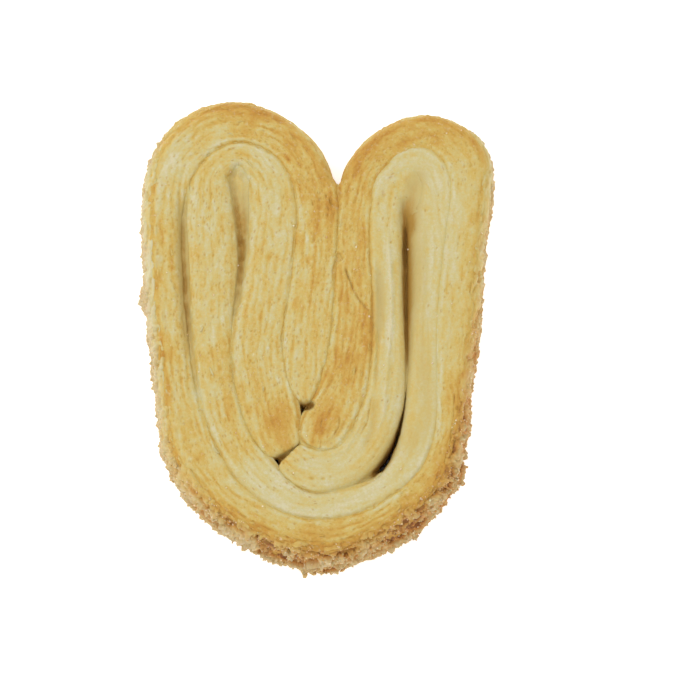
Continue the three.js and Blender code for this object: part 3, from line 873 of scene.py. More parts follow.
class Sheet:
    """A sheet of dough in the making, as a tube of points in rings and columns.

    p runs across it from 1 at its left edge to -1 at its right one, and q from 0 below to 1 on its top. s is
    the distance along it and w the distance from its middle line. Relief stands out from the surface, tone
    adds to the browning, and cuts go straight down.
    """

    def __init__(self, name, stations, bake, sizes, noise):
        self.name, self.sizes, self.noise = name, sizes, noise
        self.p, self.q = ring_layout(*SHEET_COLUMNS[name])
        line = route(stations)
        body = np.linspace(0, line["along"][-1], SHEET_RINGS[name] - 2 * CAP_RINGS)
        distance = np.concatenate([np.zeros(CAP_RINGS), body, np.full(CAP_RINGS, body[-1])])
        self.row = rows_of(line, distance)
        points, self.half, self.from_edge = section(self.row, self.p, self.q, sizes, name)

        # Its ends: the last rings close in on the middle, and bulge a little.
        opening = np.linspace(0, 1, CAP_RINGS, endpoint=False)
        ending = np.linspace(1, 0, CAP_RINGS + 1)[1:]
        closing = np.concatenate([opening, np.ones(len(body)), ending])
        middle_height = np.full(len(distance), sizes.thickness / 2)
        centre = np.stack([self.row["x"], self.row["y"], middle_height], -1)[:, None, :]
        points = centre + (points - centre) * closing[:, None, None]
        bulb = 0.5 * (1 - closing**2) * np.where(distance < body[-1] / 2, -1, 1)
        points[..., :2] += (self.row["heading"] * bulb[:, None])[:, None, :]
        self.points = points
        self.closing = closing[:, None]

        self.w = self.p * self.half
        self.s = distance[:, None] + 0 * self.w
        self.xy = points[..., :2].copy()
        self.top = (self.q == 1).astype(float)
        self.rim, self.grown = edge_kinds(name, self.row["mark"], self.p)
        self.brown, self.calm = baked(bake, self.row["mark"], self.p + 0 * self.s)
        self.airy = 1 - self.calm
        self.cuts, self.stain_and_shade, self.buried = 0 * self.s, 0 * self.s, 0

    def lay_plies(self):
        """Broad soft ridges with creases that come and go between them, and small lumps on their backs."""
        s, w, airy, noise, sizes = self.s, self.w, self.airy, self.noise, self.sizes
        drift = 0.7 * noise.plane(s / 13, 0.5 + w / 7) + 0.35 * noise.plane(s / 4.5 + 40, w / 2.2)
        drift = drift + 0.16 * noise.plane(s / 1.3 + 8, w / 0.9)
        pitch = sizes.ply_pitch * (1 + 0.25 * noise.plane(s / 25 + 9, w / 8))
        phase = (w + drift) / pitch
        ply = np.rint(phase)
        shown = noise.plane(s / 2.8 + 31 * ply, 7.3 * ply) + 0.5 * noise.plane(s / 0.8 + 13 * ply, 3.1 * ply)
        crease = np.exp(-((np.abs(phase - ply) * pitch / 0.17) ** 2)) * ease(-0.1, 0.5, shown)
        ridge = -np.cos(2 * np.pi * phase) * ease(-0.5, 0.5, noise.plane(s / 7 + 60, w / 3))
        lumpy = noise.plane(s / 0.8, (w + drift) / 0.5 + 20)
        small = noise.plane(s / 0.42 + 5, (w + drift) / 0.3 + 70)
        relief = sizes.ply_relief * ridge * (0.4 + 0.6 * airy)
        relief = relief - sizes.crease_depth * crease * (0.3 + 0.7 * airy)
        relief = relief + (0.03 * lumpy + 0.025 * small) * (0.3 + airy)
        self.relief = relief + 0.07 * noise.plane(s / 8 + 70, w / 2.6)
        # Creases browner and the backs of ridges and lumps paler: partly the dough's own colour, partly
        # painted shade and highlight.
        tone = 0.2 * crease * (0.25 + airy) - 0.12 * ridge * (0.3 + airy) - 0.1 * lumpy * (0.3 + airy)
        tone = tone + 0.22 * noise.plane(s / 6 + 3, w / 1.4)
        tone = tone + 0.16 * noise.plane(s / 2.2 + 3, w / 0.9) * (0.4 + airy)
        blotches = GROUND.plane(self.xy[..., 0] / 1.9 + 80, self.xy[..., 1] / 3.1 + 80)
        self.tone = tone + 0.1 * blotches * (0.3 + airy)
        self.drift, self.crease, self.waver = drift, crease, np.stack([lumpy, small], -1)

    def open_pits(self):
        """Pits where the layers have opened, most of them in the browned dough, and larger single pores."""
        amount = self.airy * (0.22 + 0.36 * np.clip(self.brown, 0, 1) ** 1.5) + 0.01
        for x, y, size, more in PITTED:
            amount = amount + more * np.exp(-(((self.xy - np.array([x, y])) ** 2).sum(-1)) / size**2)
        self.pit = pits(self.s, self.w + self.drift, amount * (self.from_edge > 0.3), self.noise)
        self.relief = self.relief - self.sizes.pit_depth * self.pit
        for x, y, long, short, turn, depth in PORES:
            a, b = turned(self.xy + 0.07 * self.waver, x, y, turn)
            pore = np.exp(-(((a / long) ** 2 + (b / short) ** 2) ** 2))
            self.relief = self.relief - depth * pore
            self.pit = self.pit + 1.4 * depth**0.5 * pore

    def draw_seams(self):
        """Seams with the neighbour: pale lips, partly painted highlight, and a soft line of darker crumb,
        partly painted shade, that comes and goes.
        """
        x, y, from_edge, grown = self.xy[..., 0], self.xy[..., 1], self.from_edge, self.grown
        lip = np.exp(-(((from_edge - 0.65) / 0.36) ** 2)) * grown
        dots = ease(-0.2, 0.5, GROUND.plane(x / 0.7, y / 0.8))
        dots = dots * ease(-0.5, 0.2, GROUND.plane(x / 3.1 + 50, y / 3.1))
        apart = 1 - healed_at(self.xy)
        seam = np.exp(-((from_edge / 0.22) ** 2)) * (0.15 + 0.85 * dots) * grown * (from_edge > -0.3) * apart
        self.seam = seam
        self.relief = self.relief + 0.05 * lip * apart - 0.16 * seam
        self.tone = self.tone - 0.22 * lip * (0.5 + np.clip(self.brown, 0, 1))
        self.tone = self.tone + 0.25 * np.exp(-((from_edge / 0.4) ** 2)) * grown * apart

    def part_rim(self):
        """The outermost layer stands apart behind a crease, and is worn open and sunk under the crust."""
        s, w, noise, mark = self.s, self.w, self.noise, self.row["mark"]
        inward = (1 + self.p) * self.half
        inward = inward + 0.3 * noise.plane(s / 5, 3.3 + 0 * w) + 0.2 * noise.plane(s / 1.2, w / 0.6)
        parting = by_station(RIM_CREASE, mark, 1)[:, None]
        crease = np.exp(-(((inward - 2.2) / 0.3) ** 2)) * parting
        crease = crease * ease(-0.4, 0.4, noise.plane(s / 2 + 11, 0.7 + 0 * w))
        self.relief = self.relief - 0.14 * crease
        # The crease is painted browner, partly as shade in it.
        self.tone = self.tone + 0.16 * crease + 0.3 * np.exp(-(((inward - 2.0) / 0.8) ** 2)) * parting
        self.tone = self.tone - 0.45 * ease(1.1, 0.4, inward) * parting * self.rim
        rough, band = (by_station(RIM_CRUST, mark, n)[:, None] for n in (1, 2))
        self.tone = self.tone + 0.3 * rough * ease(-1.7, 0.6, band * 0.85 - inward)
        worn = rough * ease(2.6, -1.5, inward - band) * self.rim
        opened = ease(0.25, 0.6, noise.plane(s / 1.1 + 70, (w + self.drift) / 0.42)) * worn
        lumps = noise.plane(s / 1.5 + 5, (w + self.drift) / 0.4)
        self.relief = self.relief + 0.1 * worn * lumps - 0.22 * opened
        self.pit = np.maximum(self.pit, 0.75 * opened)
        self.buried = rough * ease(band * 0.6, band * 0.3, inward) * self.rim * (self.q > 0)

    def cut_splits(self):
        """Splits, grooves and ridges of their own, darker and browner inside: partly stain, partly painted
        shade.
        """
        for wide, depth, stained, course in SPLITS[self.name]:
            reach, share = along_course(self.xy, course)
            taper = ease(0, 0.25, share) * ease(1, 0.75, share)
            reach = reach + 0.1 * self.noise.plane(self.s / 0.7, self.w / 0.7)
            cut = depth * np.exp(-((reach / (wide * (0.45 + 0.55 * taper))) ** 2)) * taper
            reached = np.clip(cut / max(depth, 0.01), 0, 1)
            self.cuts = self.cuts + cut
            self.stain_and_shade = self.stain_and_shade + stained * reached
            self.tone = self.tone + 0.8 * stained * reached + 0.9 * np.clip(cut, -1, 0)

    def shaped(self):
        """The points with all their relief, which dies away at the closed ends and in tight folds."""
        width = np.maximum((self.row["width"] / 2)[:, None], 0.1)
        folded = ease(1.0, 0.8, self.half / width) * ease(0.5, 0.9, np.abs(self.p))
        plain = 0.15 * self.noise.layers(self.points / 1.6, 2)
        relief = (self.relief * self.top + plain * (1 - self.top)) * self.closing * (1 - folded)
        relief = relief + 0.02 * self.noise.layers(self.points / 0.6 + 90, 2) - self.buried
        points = self.points + outward(self.points) * relief[..., None]
        points[..., 2] = np.maximum(points[..., 2] - self.cuts * self.top * self.closing, 0)
        return points

    def mesh(self):
        """The finished mesh. What the pieces on it need is kept in surfaces."""
        self.lay_plies()
        self.open_pits()
        self.draw_seams()
        if self.name == "outer_sheet":
            self.part_rim()
        self.cut_splits()
        points = self.shaped()
        top, rim, p, q = self.top, self.rim, self.p, self.q
        below = np.where(q == 0, 0.85, 0.55 + 0.35 * (1 - q) + 0.45 * rim)
        brown = np.where(top > 0, self.brown + self.tone + spots_at(self.xy, PATCHES), below)
        # Painted shade for the material: how far below the crown each point lies, more in cuts and in the
        # shaded spots. The walls away from the rim take it too, so they darken towards the floor.
        depth = ease(0.15, FULL_DEPTH, self.sizes.thickness - points[..., 2])
        depth = depth + 0.3 * np.clip(self.cuts, 0, 1) * top
        depth = depth * (1 - rim) * np.where(top > 0, 1, 0.8) + spots_at(self.xy, SHADED) * top
        # What takes the pore colour: creases, pits, seams and splits, partly painted shade.
        hollow = 0.13 * self.crease * (0.3 + self.airy) + 0.9 * self.pit + 0.6 * self.seam + self.stain_and_shade
        girth = np.where(q == 1, self.w, p * (self.half + (1 - q) * self.sizes.thickness))
        surfaces[self.name] = {
            "points": points,
            "normal": outward(points),
            "top": top + 0 * self.s,
            "heading": self.row["heading"],
            "brown": brown,
            "calm": self.calm,
        }
        attributes = {
            "browning": np.clip(brown, -0.3, 1.15),
            "hollow": np.clip(hollow, 0, 1) * top,
            "depth": depth,
            "calm": self.calm,
            "grain": np.stack([girth + self.drift, self.s, 0 * self.s], -1),
        }
        return wrapped_mesh(self.name, points, attributes)


class TopMap:
    """The dough's top over the floor plan: its height, browning and calm, carried on across the gaps."""

    def __init__(self, sheets):
        tops = [sheet["top"] > 0 for sheet in sheets]
        places = np.concatenate([sheet["points"][top] for sheet, top in zip(sheets, tops)])
        values = {"height": places[:, 2]}
        for key in ("brown", "calm"):
            values[key] = np.concatenate([sheet[key][top] for sheet, top in zip(sheets, tops)])
        order = np.argsort(places[:, 2])
        self.corner = places[:, :2].min(0) - 4
        i, j = np.floor((places[order, :2] - self.corner) / MAP_CELL).astype(int).T
        held = np.zeros((i.max() + 17, j.max() + 17))
        held[i, j] = 1
        weight = self.spread(held)
        self.fields = {}
        for key, numbers in values.items():
            field = np.zeros(held.shape)
            field[i, j] = numbers[order]
            self.fields[key] = self.spread(field) / weight

    @staticmethod
    def spread(field):
        """Blurs a field a little, and very faintly further off, so that gaps take the values around them."""
        total = 1e-9
        for reach, share in ((2, 1.0), (8, 0.02)):
            bell = np.exp(-((np.arange(-3 * reach, 3 * reach + 1) / reach) ** 2))
            blurred = field
            for axis in (0, 1):
                blurred = np.apply_along_axis(np.convolve, axis, blurred, bell / bell.sum(), mode="same")
            total = total + share * blurred
        return total

    def at(self, key, places):
        """A field's values at the places."""
        field = self.fields[key]
        spot = (places - self.corner) / MAP_CELL - 0.5
        base = np.floor(spot).astype(int)
        i, j = (np.clip(base[..., n], 0, field.shape[n] - 2) for n in (0, 1))
        u, v = (np.clip(spot[..., n] - base[..., n], 0, 1) for n in (0, 1))
        near = field[i, j] * (1 - u) + field[i + 1, j] * u
        return near * (1 - v) + (field[i, j + 1] * (1 - u) + field[i + 1, j + 1] * u) * v


# ---------------------------------------------------------------- crumb and crust


def crumb_strip(line, first, last, profile, under, sizes, noise, side=0):
    """A strip of crumb between the sheets as a closed tube.

    profile gives its reach to the left and right and how far it sinks, and under the height of its underside.
    With a side of 1 or -1 it follows the left or right edge of the line's sheet.
    """
    p, q = ring_layout(2, 3, 30, 3)
    top_map = surfaces["top_map"]
    distance = np.linspace(first, last, max(int((last - first) / STRIP_RING), 8) + 1)
    row = rows_of(line, distance)
    s = distance[:, None] + 0 * p
    left, right, sink = (values[:, None] for values in profile(row))
    reach = np.where(p > 0, left, right)
    w = p * 1.7 * reach
    offset = side * (row["width"] / 2)[:, None] + w
    flat = np.stack([row["x"], row["y"]], -1)[:, None, :] + row["left"][:, None, :] * offset[..., None]
    wander = 0.16 * noise.plane(s / 1.1, 0.4 + 0 * w) + 0.1 * noise.plane(s / 0.5 + 9, w / 0.6)
    fall = sink * np.exp(-(((w - wander * ease(0, 0.5, sink)) / reach) ** 2))
    films = ease(-0.3, 0.9, noise.plane(s / 1.6 + 50, w / 2.0)) * ease(0.8, 2.0, sink)
    fall = fall * (1 - 0.3 * films)
    bumps = 0.5 * noise.plane(s / 1.6, w / 0.8) + 0.3 * noise.plane(s / 0.6 + 30, w / 0.45)
    bumps = bumps * (0.08 + 0.4 * ease(0.4, 3.0, fall))
    tuck = 0.35 * p**6 + 0.3 * ease(0.9, 0.0, np.minimum(s - first, last - s))
    level = top_map.at("height", flat) + 0.02 - fall + bumps - tuck
    height = np.where(q == 1, level, under + q * (level - under - 0.1))
    # Painted shade: the crumb takes the shaded colours the deeper it lies below the crown and in the shaded
    # spots.
    shade = ease(0.15, FULL_DEPTH, sizes.thickness - height - 0.5 * films) + 0.8 * spots_at(flat, SHADED)
    attributes = {
        # Browner the further it falls, and darker along its deepest line: painted shade in the hollow.
        "browning": top_map.at("brown", flat) + 0.3 * ease(0.0, 1.2, fall) - 0.3 * bumps,
        "hollow": 0.35 * np.exp(-((w / 0.25) ** 2)) * ease(-0.2, 0.5, noise.plane(s / 0.8, 3.3 + 0 * w)),
        "calm": top_map.at("calm", flat),
        "depth": shade,
        "grain": np.stack([w, s, 0 * s], -1),
    }
    return wrapped_mesh("strip", with_closed_ends(np.concatenate([flat, height[..., None]], -1)), attributes)


def crust_heap(points, arc, s, band, noise):
    """How far the crust heaps up in plates, lumps and cavities, and its ridges and broad body alone."""
    body = noise.layers(points / 3.0, 2)
    warp = 0.4 * noise.layers(points / 1.1 + 7, 2)
    laid = np.stack([arc + warp, 0.42 * s + warp, 0 * s], -1)
    plates = np.minimum(np.abs(noise.space(laid / 1.4 + 3)) * 1.9, 0.7)
    lumps = np.abs(noise.space((points + warp[..., None]) / 0.95 + 31)) * 1.4
    small = np.abs(noise.space(points / 0.36 + 13))
    ridges = noise.space(laid * np.array([1.9, 0.8, 1]) + 45)
    mid_band = np.exp(-(((arc / band - 0.5) / 0.3) ** 2))
    cavities = ease(0.16, 0.44, noise.layers(laid * np.array([1, 0.75, 1]) / 0.7 + 60, 2) + 0.08 * mid_band)
    heap = 0.4 * (plates - 0.35) + 0.85 * (lumps - 0.33) + 0.6 * (small - 0.25) + 0.5 * ridges
    return heap + 0.2 * body - 1.1 * cavities, ridges, body


def crust_normal(points, row):
    """Outward normals of the crust's path, which turn over from the top to the wall."""
    along = np.concatenate([row["heading"], np.zeros((len(points), 1))], -1)[:, None, :]
    down = np.gradient(points, axis=1)
    down[:, CRUST_FACE:] = -down[:, CRUST_FACE:]
    down[:, CRUST_FACE - 1] = down[:, CRUST_FACE - 2]
    normal = np.cross(along, down)
    normal = normal / np.maximum(np.linalg.norm(normal, axis=-1, keepdims=True), 1e-9)
    for _ in range(2):
        normal[:, 1:-1] = (normal[:, :-2] + normal[:, 1:-1] + normal[:, 2:]) / 3
    normal = normal / np.maximum(np.linalg.norm(normal, axis=-1, keepdims=True), 1e-9)
    return normal * np.sign(normal[:, CRUST_FACE // 4, 2].mean())


def crust_mesh(name, sizes, noise):
    """The rough crust that covers the rim and the outer wall, as a thin closed shell."""
    line = route(OUTER_SHEET)
    first, last = (station_distance(line, RIM_CRUST[n][0]) for n in (0, -1))
    distance = np.linspace(first, last, int((last - first) / CRUST_RING) + 1)
    row = rows_of(line, distance)
    amount, band, bake, sugar = (by_station(RIM_CRUST, row["mark"], n)[:, None] for n in (1, 2, 3, 4))

    # Its path runs from the top over the edge and down the wall, and its back returns inside the dough.
    there = np.concatenate([np.linspace(0, 1, CRUST_FACE), np.linspace(1, 0, CRUST_BACK + 2)[1:-1]])[None, :]
    face = np.concatenate([np.ones(CRUST_FACE), np.zeros(CRUST_BACK)])[None, :]
    wall = sizes.thickness - row["right_drop"][:, None]
    arc = there * (band + wall)
    p = -np.clip(1 - (band - arc) / (row["width"] / 2)[:, None], 0, 1)
    q = np.clip(1 - (arc - band) / wall, 0.02, 1)
    points = section(row, p, q, sizes, "outer_sheet")[0]
    s = distance[:, None] + 0 * p
    off_floor = points[..., 2] > 0.8
    normal = crust_normal(points, row)

    ragged = band * 0.22 + 0.6 * noise.plane(s / 1.6, arc / 1.6) + 0.7 * noise.plane(s / 5 + 8, 4.4 + 0 * p)
    shown = ease(-0.3, 0.3, arc - ragged)
    heap, ridges, body = crust_heap(points, arc, s, band, noise)
    relief = heap * amount * sizes.rim_roughness * 2.6 * (0.4 + 0.6 * ease(0, 2.4, arc - ragged))
    lift = 0.45 + relief - 0.3 * amount * ease(0.0, 1.5, arc - band * 0.6)
    lift = (lift * shown * ease(0.0, 0.12, amount) - 0.4) * ease(0, 0.6, (1 - there) * (band + wall))
    points = points + normal * np.where(face > 0, lift, -1)[..., None]
    points[..., 2] = np.maximum(points[..., 2], 0.02)
    points = with_closed_ends(points)
    surfaces[name] = {
        "points": points,
        "normal": normal,
        "outside": face * shown * (arc > 0.3) * off_floor,
        "amount": amount + 0 * s,
        "sugar": sugar + 0 * s,
        "brown": bake + 0 * s,
    }
    inner_share = (ease(0.9, 0.3, arc / band) - 0.4 * ease(0.6, 0.9, arc / band)) * amount
    browning = bake + 0.3 * ease(0, 6, arc - band) + 0.15 * body + 0.3 * inner_share
    attributes = {
        "browning": np.clip(browning, -0.4, 1.3),
        "raised": np.clip(0.55 + 0.75 * heap * (0.3 + 0.7 * amount), 0, 1),
        "rough": amount + 0 * s,
        "sugared": sugar * (1 - bake) + 0 * s,
        "onset": ease(0.2, 3.2, arc - ragged + 0.5 * ridges),
        "grain": np.stack([arc, s, 0 * s], -1),
    }
    return wrapped_mesh(name, points, attributes)


# ---------------------------------------------------------------- materials


class Wire:
    """A node's output, which can be written into arithmetic."""

    def __init__(self, shader, socket):
        self.shader = shader
        self.socket = socket

    def math(self, operation, a, b):
        """The wire of one sum."""
        return self.shader.node("ShaderNodeMath", {"operation": operation}, {0: a, 1: b})

    def __add__(self, other):
        return self.math("ADD", self, other)

    __radd__ = __add__

    def __sub__(self, other):
        return self.math("SUBTRACT", self, other)

    def __rsub__(self, other):
        return self.math("SUBTRACT", other, self)

    def __mul__(self, other):
        return self.math("MULTIPLY", self, other)

    __rmul__ = __mul__


class Shader:
    """A material in the making, whose Principled node takes what is worked out."""

    def __init__(self, name):
        self.material = bpy.data.materials.new(name)
        self.material.use_nodes = True
        self.tree = self.material.node_tree
        self.surface = self.tree.nodes["Principled BSDF"]
        self.place = self.node("ShaderNodeTexCoord", output=3)

    def node(self, kind, settings=None, values=None, output=0):
        """A node with its settings and its inputs' values or links, as the wire of one output."""
        made = self.tree.nodes.new(kind)
        for key, value in (settings or {}).items():
            if key == "stops":
                self.set_stops(made.color_ramp, value)
            else:
                setattr(made, key, value)
        for key, value in (values or {}).items():
            self.feed(made.inputs[key], value)
        return Wire(self, made.outputs[output])

    def feed(self, socket, value):
        """Links a wire to a socket, or sets the socket to a constant."""
        if isinstance(value, Wire):
            self.tree.links.new(value.socket, socket)
        else:
            socket.default_value = value

    @staticmethod
    def set_stops(ramp, stops):
        """Sets a ramp's positions and colours."""
        while len(ramp.elements) < len(stops):
            ramp.elements.new(0.5)
        for element, (position, colour) in zip(ramp.elements, stops):
            element.position = position
            element.color = (*colour[:3], 1)

    def attribute(self, name, output=2):
        """An attribute of the mesh: output 2 for a number, 1 for a vector."""
        return self.node("ShaderNodeAttribute", {"attribute_name": name}, output=output)

    def mix(self, share, a, b):
        """A colour between a and b."""
        return self.node("ShaderNodeMix", {"data_type": "RGBA"}, {0: share, 6: a, 7: b}, 2)

    def step(self, low, high, value):
        """A smooth step from 0 at low to 1 at high."""
        settings = {"interpolation_type": "SMOOTHSTEP"}
        return self.node("ShaderNodeMapRange", settings, {0: value, 1: low, 2: high, 3: 0.0, 4: 1.0})

    def noise(self, vector, scale, detail=3.0, roughness=0.55):
        """Noise around 0.5 at a place."""
        values = {"Vector": vector, "Scale": scale, "Detail": detail, "Roughness": roughness}
        return self.node("ShaderNodeTexNoise", None, values)

    def stretched(self, vector, scale):
        """A place with each of its axes scaled."""
        return self.node("ShaderNodeVectorMath", {"operation": "MULTIPLY"}, {0: vector, 1: scale})

    def bump(self, height, strength, distance):
        """Normals that follow a height."""
        values = {"Height": height, "Strength": strength, "Distance": distance}
        return self.node("ShaderNodeBump", None, values)

    def finish(self, **sockets):
        """The finished material. An underscore in a socket's name stands for a space."""
        for name, value in sockets.items():
            self.feed(self.surface.inputs[name.replace("_", " ")], value)
        return self.material


def rgba(colour):
    """A colour property with full alpha."""
    return (*colour[:3], 1.0)


def ramp(sh, value, positions, colours):
    """A colour read off a scale of colours."""
    return sh.node("ShaderNodeValToRGB", {"stops": list(zip(positions, colours))}, {0: value})


def toasted(sh, toast, colours):
    """The pastry's colour from ivory to deep brown. A baking of 0 is cream and 1.7 is the brownest."""
    names = ("ivory", "cream", "straw", "maize", "golden", "honey", "amber", "brown", "dark_brown")
    positions = (0.0, 0.12, 0.24, 0.36, 0.48, 0.6, 0.72, 0.84, 1.0)
    return ramp(sh, toast * 0.48 + 0.17, positions, [getattr(colours, name) for name in names])


def crusted(sh, darkness, colours):
    """The crust's colour from sugared beige to the brown of a cavity."""
    names = ("sugared", "beige", "sand", "tan", "caramel", "toffee", "cavity")
    positions = (0.0, 0.2, 0.36, 0.52, 0.68, 0.84, 1.0)
    return ramp(sh, darkness, positions, [getattr(colours, name) for name in names])


def soft(scale=0.0012, weight=0.2):
    """The settings of light that sinks a little way into dough and crust."""
    return {"Subsurface_Weight": weight, "Subsurface_Radius": (1.0, 0.6, 0.25), "Subsurface_Scale": scale}


def pastry_material(colours):
    """Baked laminated dough: cream to brown, with amber pores, milky specks and a soft grain."""
    sh = Shader("baked_layers")
    grain = sh.attribute("grain", 1)
    browning, hollow, calm, depth = (sh.attribute(n) for n in ("browning", "hollow", "calm", "depth"))
    airy = 1 - calm * 0.6
    bands = sh.noise(sh.stretched(grain, (1.2, 0.42, 1)), 1.0, 3.0)
    fibres = sh.noise(sh.stretched(grain, (2.5, 1.0, 1)), 1.0, 4.0, 0.7)
    mottle = sh.noise(sh.place, 600.0, 4.0, 0.75)
    speck = sh.noise(sh.place, 1900.0, 3.0, 0.8)
    holes = {"Vector": sh.stretched(grain, (2.7, 1.15, 1)), "Scale": 1.0}
    hole_depth = sh.node("ShaderNodeTexVoronoi", {"feature": "F1"}, holes)
    hole_shown = sh.node("ShaderNodeTexVoronoi", {"feature": "F1"}, holes, 1)
    hole_shown = sh.step(0.48, 0.64, sh.node("ShaderNodeSeparateColor", None, {0: hole_shown}))
    pores = sh.step(0.36, 0.1, hole_depth) * hole_shown * airy * sh.step(0.15, 0.7, browning)
    varied = (bands - 0.5) * airy + (fibres - 0.5) * 0.7 * airy
    varied = varied + (mottle - 0.5) * 0.8 + (speck - 0.5) * 1.1
    toast = browning * 1.12 + 0.01 + varied * (1.1 - browning * 0.4)
    body = toasted(sh, toast, colours)
    # Pits, creases, seams and splits take the pore colour: partly the browner crumb inside them, partly
    # painted shade.
    body = sh.mix(pores * 0.66, body, rgba(colours.pore))
    body = sh.mix(hollow * 0.85, body, rgba(colours.pore))
    # Milky specks, partly the dough's own pale specks and partly painted highlight, and glints, which are
    # painted highlights.
    milky_sheen = sh.step(0.54, 0.8, sh.noise(sh.place, 1250.0, 3.0, 0.6)) * airy
    body = sh.mix(milky_sheen * 0.4, body, rgba(colours.glint))
    glints = sh.step(0.68, 0.76, sh.noise(sh.place, 2300.0, 2.0, 0.5))
    body = sh.mix(glints * 0.3, body, rgba(colours.glint))
    # Painted shade: the further a point lies below the crown, and the more shaded its spot, the more it takes
    # the shaded and then the deep colour.
    shade = depth + (fibres - 0.5) * 0.35 * sh.step(0.0, 0.3, depth)
    body = sh.mix(sh.step(0.0, 0.5, shade) * 0.85, body, rgba(colours.shaded))
    body = sh.mix(sh.step(0.4, 1.0, shade), body, rgba(colours.deep))
    rough = 0.7 - glints * 0.3 + (speck - 0.5) * 0.2
    height = fibres * 0.5 * airy + speck * 0.35 + mottle * 0.4 - pores * 0.7
    normal = sh.bump(height, 0.2, 0.0002)
    light = soft(0.0014, 0.22)
    return sh.finish(Base_Color=body, Roughness=rough, Normal=normal, Specular_IOR_Level=0.3, **light)


def crust_material(colours):
    """Rough crust of the rim: caramel and painted shade in its hollows, beige on its lumps, layer streaks
    between.
    """
    sh = Shader("sugared_crust")
    grain = sh.attribute("grain", 1)
    browning, raised, lumpy = (sh.attribute(n) for n in ("browning", "raised", "rough"))
    sugared, onset = (sh.attribute(n) for n in ("sugared", "onset"))
    patches = sh.noise(sh.place, 300.0, 2.0)
    mottle = sh.noise(sh.place, 850.0, 4.0, 0.7)
    speck = sh.noise(sh.place, 2200.0, 3.0, 0.65)
    layers = sh.noise(sh.stretched(grain, (1.7, 0.22, 1)), 1.0, 3.0, 0.6)
    # Darker where the crust lies low: partly caramel, partly painted shade in its hollows.
    darkness = 0.33 + browning * 0.4 + (0.5 - raised) * 0.95 * lumpy
    darkness = darkness + (patches - 0.5) * 0.9 + (mottle - 0.5) * 0.6
    darkness = darkness + (speck - 0.5) * 0.3 + (layers - 0.5) * 1.3
    body = crusted(sh, darkness - sugared * 0.12, colours)
    chips = sh.step(0.6, 0.78, raised + (mottle - 0.5) * 0.6) * lumpy
    body = sh.mix(chips * 0.35, body, rgba(colours.beige))
    toast = 0.3 + browning * 0.8 + (layers - 0.5) * 1.6 + (mottle - 0.5) * 0.8 + (0.5 - raised) * 0.6
    body = sh.mix(onset, toasted(sh, toast, colours), body)
    crystals = sh.noise(sh.place, 1500.0, 3.0, 0.7)
    normal = sh.bump(crystals + mottle, 0.5, 0.0003)
    return sh.finish(Base_Color=body, Roughness=0.58, Normal=normal, Specular_IOR_Level=0.4, **soft(0.001))


def sugar_material(colours):
    """Sugar grains: clear to milky, some stained by caramel."""
    sh = Shader("sugar_grains")
    tint = sh.attribute("tint")
    body = sh.mix(tint, rgba(colours.sugar), rgba(colours.caramel))
    rough = 0.3 + sh.noise(sh.place, 4000.0, 2.0) * 0.25
    return sh.finish(Base_Color=body, Roughness=rough, Specular_IOR_Level=0.5, **soft(0.0005, 0.3))


def flake_material(colours):
    """Thin flakes of the outer layers."""
    sh = Shader("thin_flakes")
    tint = sh.attribute("tint")
    mottle = sh.noise(sh.place, 1600.0, 3.0, 0.6)
    body = toasted(sh, tint + (mottle - 0.5) * 0.6, colours)
    normal = sh.bump(mottle, 0.5, 0.0002)
    return sh.finish(Base_Color=body, Roughness=0.7, Normal=normal, Specular_IOR_Level=0.3)


def crumb_material(colours):
    """Loose crumbs of the crust."""
    sh = Shader("crust_crumbs")
    tint = sh.attribute("tint")
    mottle = sh.noise(sh.place, 1100.0, 4.0, 0.7)
    body = crusted(sh, 0.16 + tint * 0.45 + (mottle - 0.5) * 0.9, colours)
    normal = sh.bump(mottle, 0.6, 0.0003)
    return sh.finish(Base_Color=body, Roughness=0.6, Normal=normal, Specular_IOR_Level=0.35, **soft(0.001))


def floor_material(colours):
    """A plain floor that glows faintly, but not below the long gap, so that the gap stays dark."""
    sh = Shader("plain_floor")
    body = sh.mix(sh.noise(sh.place, 30.0, 2.0) * 0.02, rgba(colours.floor), (1, 1, 1, 1))
    gap = [size * MM for size in GAP_MIDDLE]
    away = sh.node("ShaderNodeVectorMath", {"operation": "DISTANCE"}, {0: sh.place, 1: gap}, 1)
    glow = sh.step(GAP_SHADE[0] * MM, GAP_SHADE[1] * MM, away)
    return sh.finish(Base_Color=body, Roughness=0.9, Emission_Color=glow, Emission_Strength=0.55)


# ---------------------------------------------------------------- small things


def shape_of(build):
    """Vertices and triangles of a small shape that build makes in a bmesh.

    The triangles are sorted, because an operator may list them in another order on the next run.
    """
    bm = bmesh.new()
    build(bm)
    bmesh.ops.triangulate(bm, faces=bm.faces)
    bm.verts.ensure_lookup_table()
    points = np.array([v.co[:] for v in bm.verts])
    corners = ([v.index for v in f.verts] for f in bm.faces)
    firsts = ((c, c.index(min(c))) for c in corners)
    faces = np.array(sorted(c[n:] + c[:n] for c, n in firsts))
    bm.free()
    return points, faces


